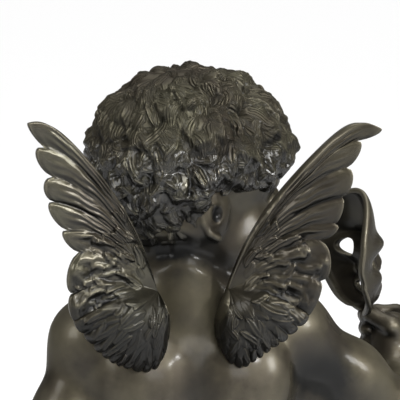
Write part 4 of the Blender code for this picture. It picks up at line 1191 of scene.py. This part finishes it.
def map_range(tree, value, span, low=0.0, high=1.0):
    node = tree.nodes.new("ShaderNodeMapRange")
    names = ("Value", "From Min", "From Max", "To Min", "To Max")
    for name, item in zip(names, (value, *span, low, high)):
        fed(tree, node.inputs[name], item)
    return node.outputs["Result"]


def mixed(tree, share, a, b):
    node = tree.nodes.new("ShaderNodeMix")
    node.data_type = "RGBA"
    for name, item in (("Factor", share), ("A", a), ("B", b)):
        tree.links.new(item, node.inputs[name])
    return node.outputs["Result"]


def patina_group():
    g = bpy.data.node_groups.new("Bronze patina", "ShaderNodeTree")
    for way, kind, names in (
            ("INPUT", "Color", ("Brown", "Hollow and shade", "Rubbed", "Tint")),
            ("INPUT", "Float", ("Rub", "Gloss")),
            ("OUTPUT", "Color", ("Color",)),
            ("OUTPUT", "Float", ("Roughness", "Grain"))):
        for name in names:
            g.interface.new_socket(name, in_out=way, socket_type="NodeSocket" + kind)
    give, take = g.nodes.new("NodeGroupInput").outputs, g.nodes.new("NodeGroupOutput").inputs
    where = g.nodes.new("ShaderNodeTexCoord").outputs["Object"]
    cloud, fleck, grain = (noise(g, where, kind) for kind in (CLOUDS, FLECKS, GRAINS))

    brown = mixed(g, map_range(g, cloud, CLOUDY), give["Brown"], give["Tint"])
    wobble = maths(g, "MULTIPLY_ADD", fleck, FLECKED_EDGE, attribute(g, "relief"))
    # Low relief gets the dark colour: patina in the real hollows, and painted shade where the relief
    # attribute was darkened.
    hollow_and_shade = map_range(g, wobble, HOLLOW_AND_SHADE_SPAN)
    darker = mixed(g, hollow_and_shade, brown, give["Hollow and shade"])
    rub = maths(g, "MULTIPLY", map_range(g, wobble, HIGH), give["Rub"])
    rubbed = mixed(g, rub, darker, give["Rubbed"])

    # Painted shade: faces turned downward are mixed towards the dark colour.
    facing = g.nodes.new("ShaderNodeSeparateXYZ")
    g.links.new(g.nodes.new("ShaderNodeNewGeometry").outputs["Normal"], facing.inputs["Vector"])
    underside_shade = map_range(g, facing.outputs["Z"], UNDERSIDE_SHADE, UNDERSIDE_SHADE_LEAST)
    dull = maths(g, "MULTIPLY_ADD", hollow_and_shade, DULL_HOLLOW, give["Gloss"])
    g.links.new(mixed(g, underside_shade, give["Hollow and shade"], rubbed), take["Color"])
    g.links.new(maths(g, "MULTIPLY_ADD", fleck, DULL_FLECK, dull), take["Roughness"])
    g.links.new(maths(g, "MULTIPLY_ADD", grain, 0.5, fleck), take["Grain"])
    return g


PATINA = patina_group()
print("patina group:", len(PATINA.nodes), "nodes")


# %% Bronze materials
BROWN, OLIVE, TAN = (0.026, 0.022, 0.016), (0.04, 0.037, 0.025), (0.05, 0.044, 0.029)
DEEP, WORN = (0.004, 0.004, 0.004), (0.1, 0.09, 0.065)
GRAIN_BUMP, STRAND_BUMP = (0.12, 0.0004), (0.6, 0.0006)
CAP_DRYNESS, HAIR_WAX, CAP_WAX = 0.24, 0.34, 0.04
METAL = {
    "Metallic": 0.7, "Specular IOR Level": 0.3, "Specular Tint": (0.35, 0.34, 0.3, 1.0),
    "Coat Weight": 0.12, "Coat Roughness": 0.18,
}


def bumped(tree, height, kind):
    node = tree.nodes.new("ShaderNodeBump")
    set_inputs(node, dict(zip(("Strength", "Distance"), kind)))
    tree.links.new(height, node.inputs["Height"])
    return node


def material(name, values):
    mat = bpy.data.materials.new(name)
    mat.use_nodes = True
    shader = mat.node_tree.nodes["Principled BSDF"]
    set_inputs(shader, values)
    return mat, shader


def bronze(name, tint, rub, gloss, strands=0.0):
    """Waxed bronze; with strands it has fine hair lines and a matt, unwaxed cap."""
    mat, shader = material(name, METAL)
    tree = mat.node_tree
    skin = tree.nodes.new("ShaderNodeGroup")
    skin.node_tree = PATINA
    colours = {"Brown": BROWN, "Tint": tint, "Hollow and shade": DEEP, "Rubbed": WORN}
    set_inputs(skin, {socket: (*colour, 1.0) for socket, colour in colours.items()})
    set_inputs(skin, {"Rub": rub, "Gloss": gloss})
    grain = bumped(tree, skin.outputs["Grain"], GRAIN_BUMP)
    rough = skin.outputs["Roughness"]
    if strands:
        ripple = maths(tree, "SINE", maths(tree, "MULTIPLY", attribute(tree, "strand"), strands))
        fine = bumped(tree, ripple, STRAND_BUMP)
        tree.links.new(fine.outputs["Normal"], grain.inputs["Normal"])
        matt = attribute(tree, "matt")
        rough = maths(tree, "MULTIPLY_ADD", matt, CAP_DRYNESS, rough)
        wax = map_range(tree, matt, (0.0, 1.0), HAIR_WAX, CAP_WAX)
        tree.links.new(wax, shader.inputs["Coat Weight"])
    tree.links.new(skin.outputs["Color"], shader.inputs["Base Color"])
    tree.links.new(rough, shader.inputs["Roughness"])
    tree.links.new(grain.outputs["Normal"], shader.inputs["Normal"])
    return mat


looks = {
    "body": bronze("Bronze skin", TAN, 0.55, 0.4),
    "hair": bronze("Bronze hair", OLIVE, 0.7, 0.15, strands=14.0),
    "wing": bronze("Bronze feathers", OLIVE, 0.4, 0.26),
    # Painted light: the right wing has a lighter copy of the feather bronze, with a paler tint and more
    # rubbing.
    "wing_right": bronze("Bronze feathers right painted lighter", TAN, 0.6, 0.28),
    "mask": bronze("Bronze mask", OLIVE, 0.6, 0.36),
    "base": bronze("Bronze base", OLIVE, 0.6, 0.36),
}
print("materials:", sorted(looks))


# %% Put the pieces in the scene
def put(name, mesh, look, slot, *nodes):
    mesh.materials.clear()
    mesh.materials.append(looks[look])
    mesh.polygons.foreach_set("use_smooth", [True] * len(mesh.polygons))
    piece = linked(name, mesh)
    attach(piece, "root")
    if nodes:
        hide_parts(*nodes)
    return piece


put("cupid_figure", figure_mesh, "body", "bronze_figure", "figure")
put("cupid_hair", hair, "hair", "bronze_figure")
put("cupid_wing_left", wings["wing_left"], "wing", "bronze_wing_left", "wing_left")
put("cupid_wing_right", wings["wing_right"], "wing_right", "bronze_wing_right", "wing_right")
put("theatre_mask", stage_mask, "mask", "bronze_mask", "mask")
put("turned_base", base_turned, "base", "bronze_base", "base")

# %% [markdown]
# ## Stage
# The bronze stands on a pale floor in soft light. It is seen from behind, a
# little from its right and from slightly above, close up on its shoulders.
# The camera is far off with a long lens, as for a catalogue picture.

# %% Camera, floor and light
CAMERA_TURN, CAMERA_RISE = 170.0, 6.0
CAMERA_FAR = 290.0
CAMERA_AIM = (-0.9, 0.0, 87.2)
PARTS_ACROSS = 400 / 11.0
FLOOR_RADIUS, FLOOR_DROP = 40.0, 0.0005
LAMPS = [
    ("Key", 200, 50, 1.6, 0.9, 33), ("Side", 118, 20, 1.8, 0.7, 18), ("Right", 233, 10, 1.6, 0.4, 28),
    ("Low", 188, 10, 1.8, 0.5, 10), ("Glint", 208, 18, 1.5, 0.08, 13),
]


def aimed(name, data, turn, rise, far):
    """Camera or lamp that looks at the shoulders, by its turn and rise round the object."""
    a, e = math.radians(turn), math.radians(rise)
    back = Vector((math.sin(a) * math.cos(e), -math.cos(a) * math.cos(e), math.sin(e)))
    x, y, z = (PART * value for value in CAMERA_AIM)
    ob = linked(name, data)
    ob.location = Vector((x, y, z + SOLES)) + back * far
    ob.rotation_euler = (-back).to_track_quat("-Z", "Y").to_euler()
    return ob


def place_camera():
    cam = bpy.data.cameras.new("Camera")
    cam.lens = cam.sensor_width * CAMERA_FAR / PARTS_ACROSS
    cam.clip_end = 100
    bpy.context.scene.camera = aimed("Camera", cam, CAMERA_TURN, CAMERA_RISE, CAMERA_FAR * PART)


def place_floor():
    bm = bmesh.new()
    bmesh.ops.create_circle(bm, cap_ends=True, segments=96, radius=FLOOR_RADIUS)
    bmesh.ops.translate(bm, vec=(0, 0, -FLOOR_DROP), verts=bm.verts[:])
    floor = linked("floor", to_mesh(bm, "floor"))
    pale, _ = material("Pale floor", {"Base Color": (0.96, 0.96, 0.96, 1), "Roughness": 0.9})
    floor.data.materials.append(pale)


def place_lamp(name, turn, rise, far, size, power):
    lamp = bpy.data.lights.new(name, "AREA")
    lamp.size, lamp.energy = size, power
    aimed(name, lamp, turn, rise, far)


place_camera()
place_floor()
for lamp in LAMPS:
    place_lamp(*lamp)
sun = bpy.data.lights.new("Sky", "SUN")
sun.energy, sun.angle = 2.5, math.radians(60)
linked("Sky", sun).rotation_euler = (math.radians(12), 0, 0)
world = bpy.data.worlds.new("Studio")
bpy.context.scene.world = world
world.use_nodes = True
set_inputs(world.node_tree.nodes["Background"], {"Color": (1, 1, 1, 1), "Strength": 0.28})
bpy.context.scene.view_settings.view_transform = "Standard"
print("camera lens", round(bpy.context.scene.camera.data.lens, 1), "mm")
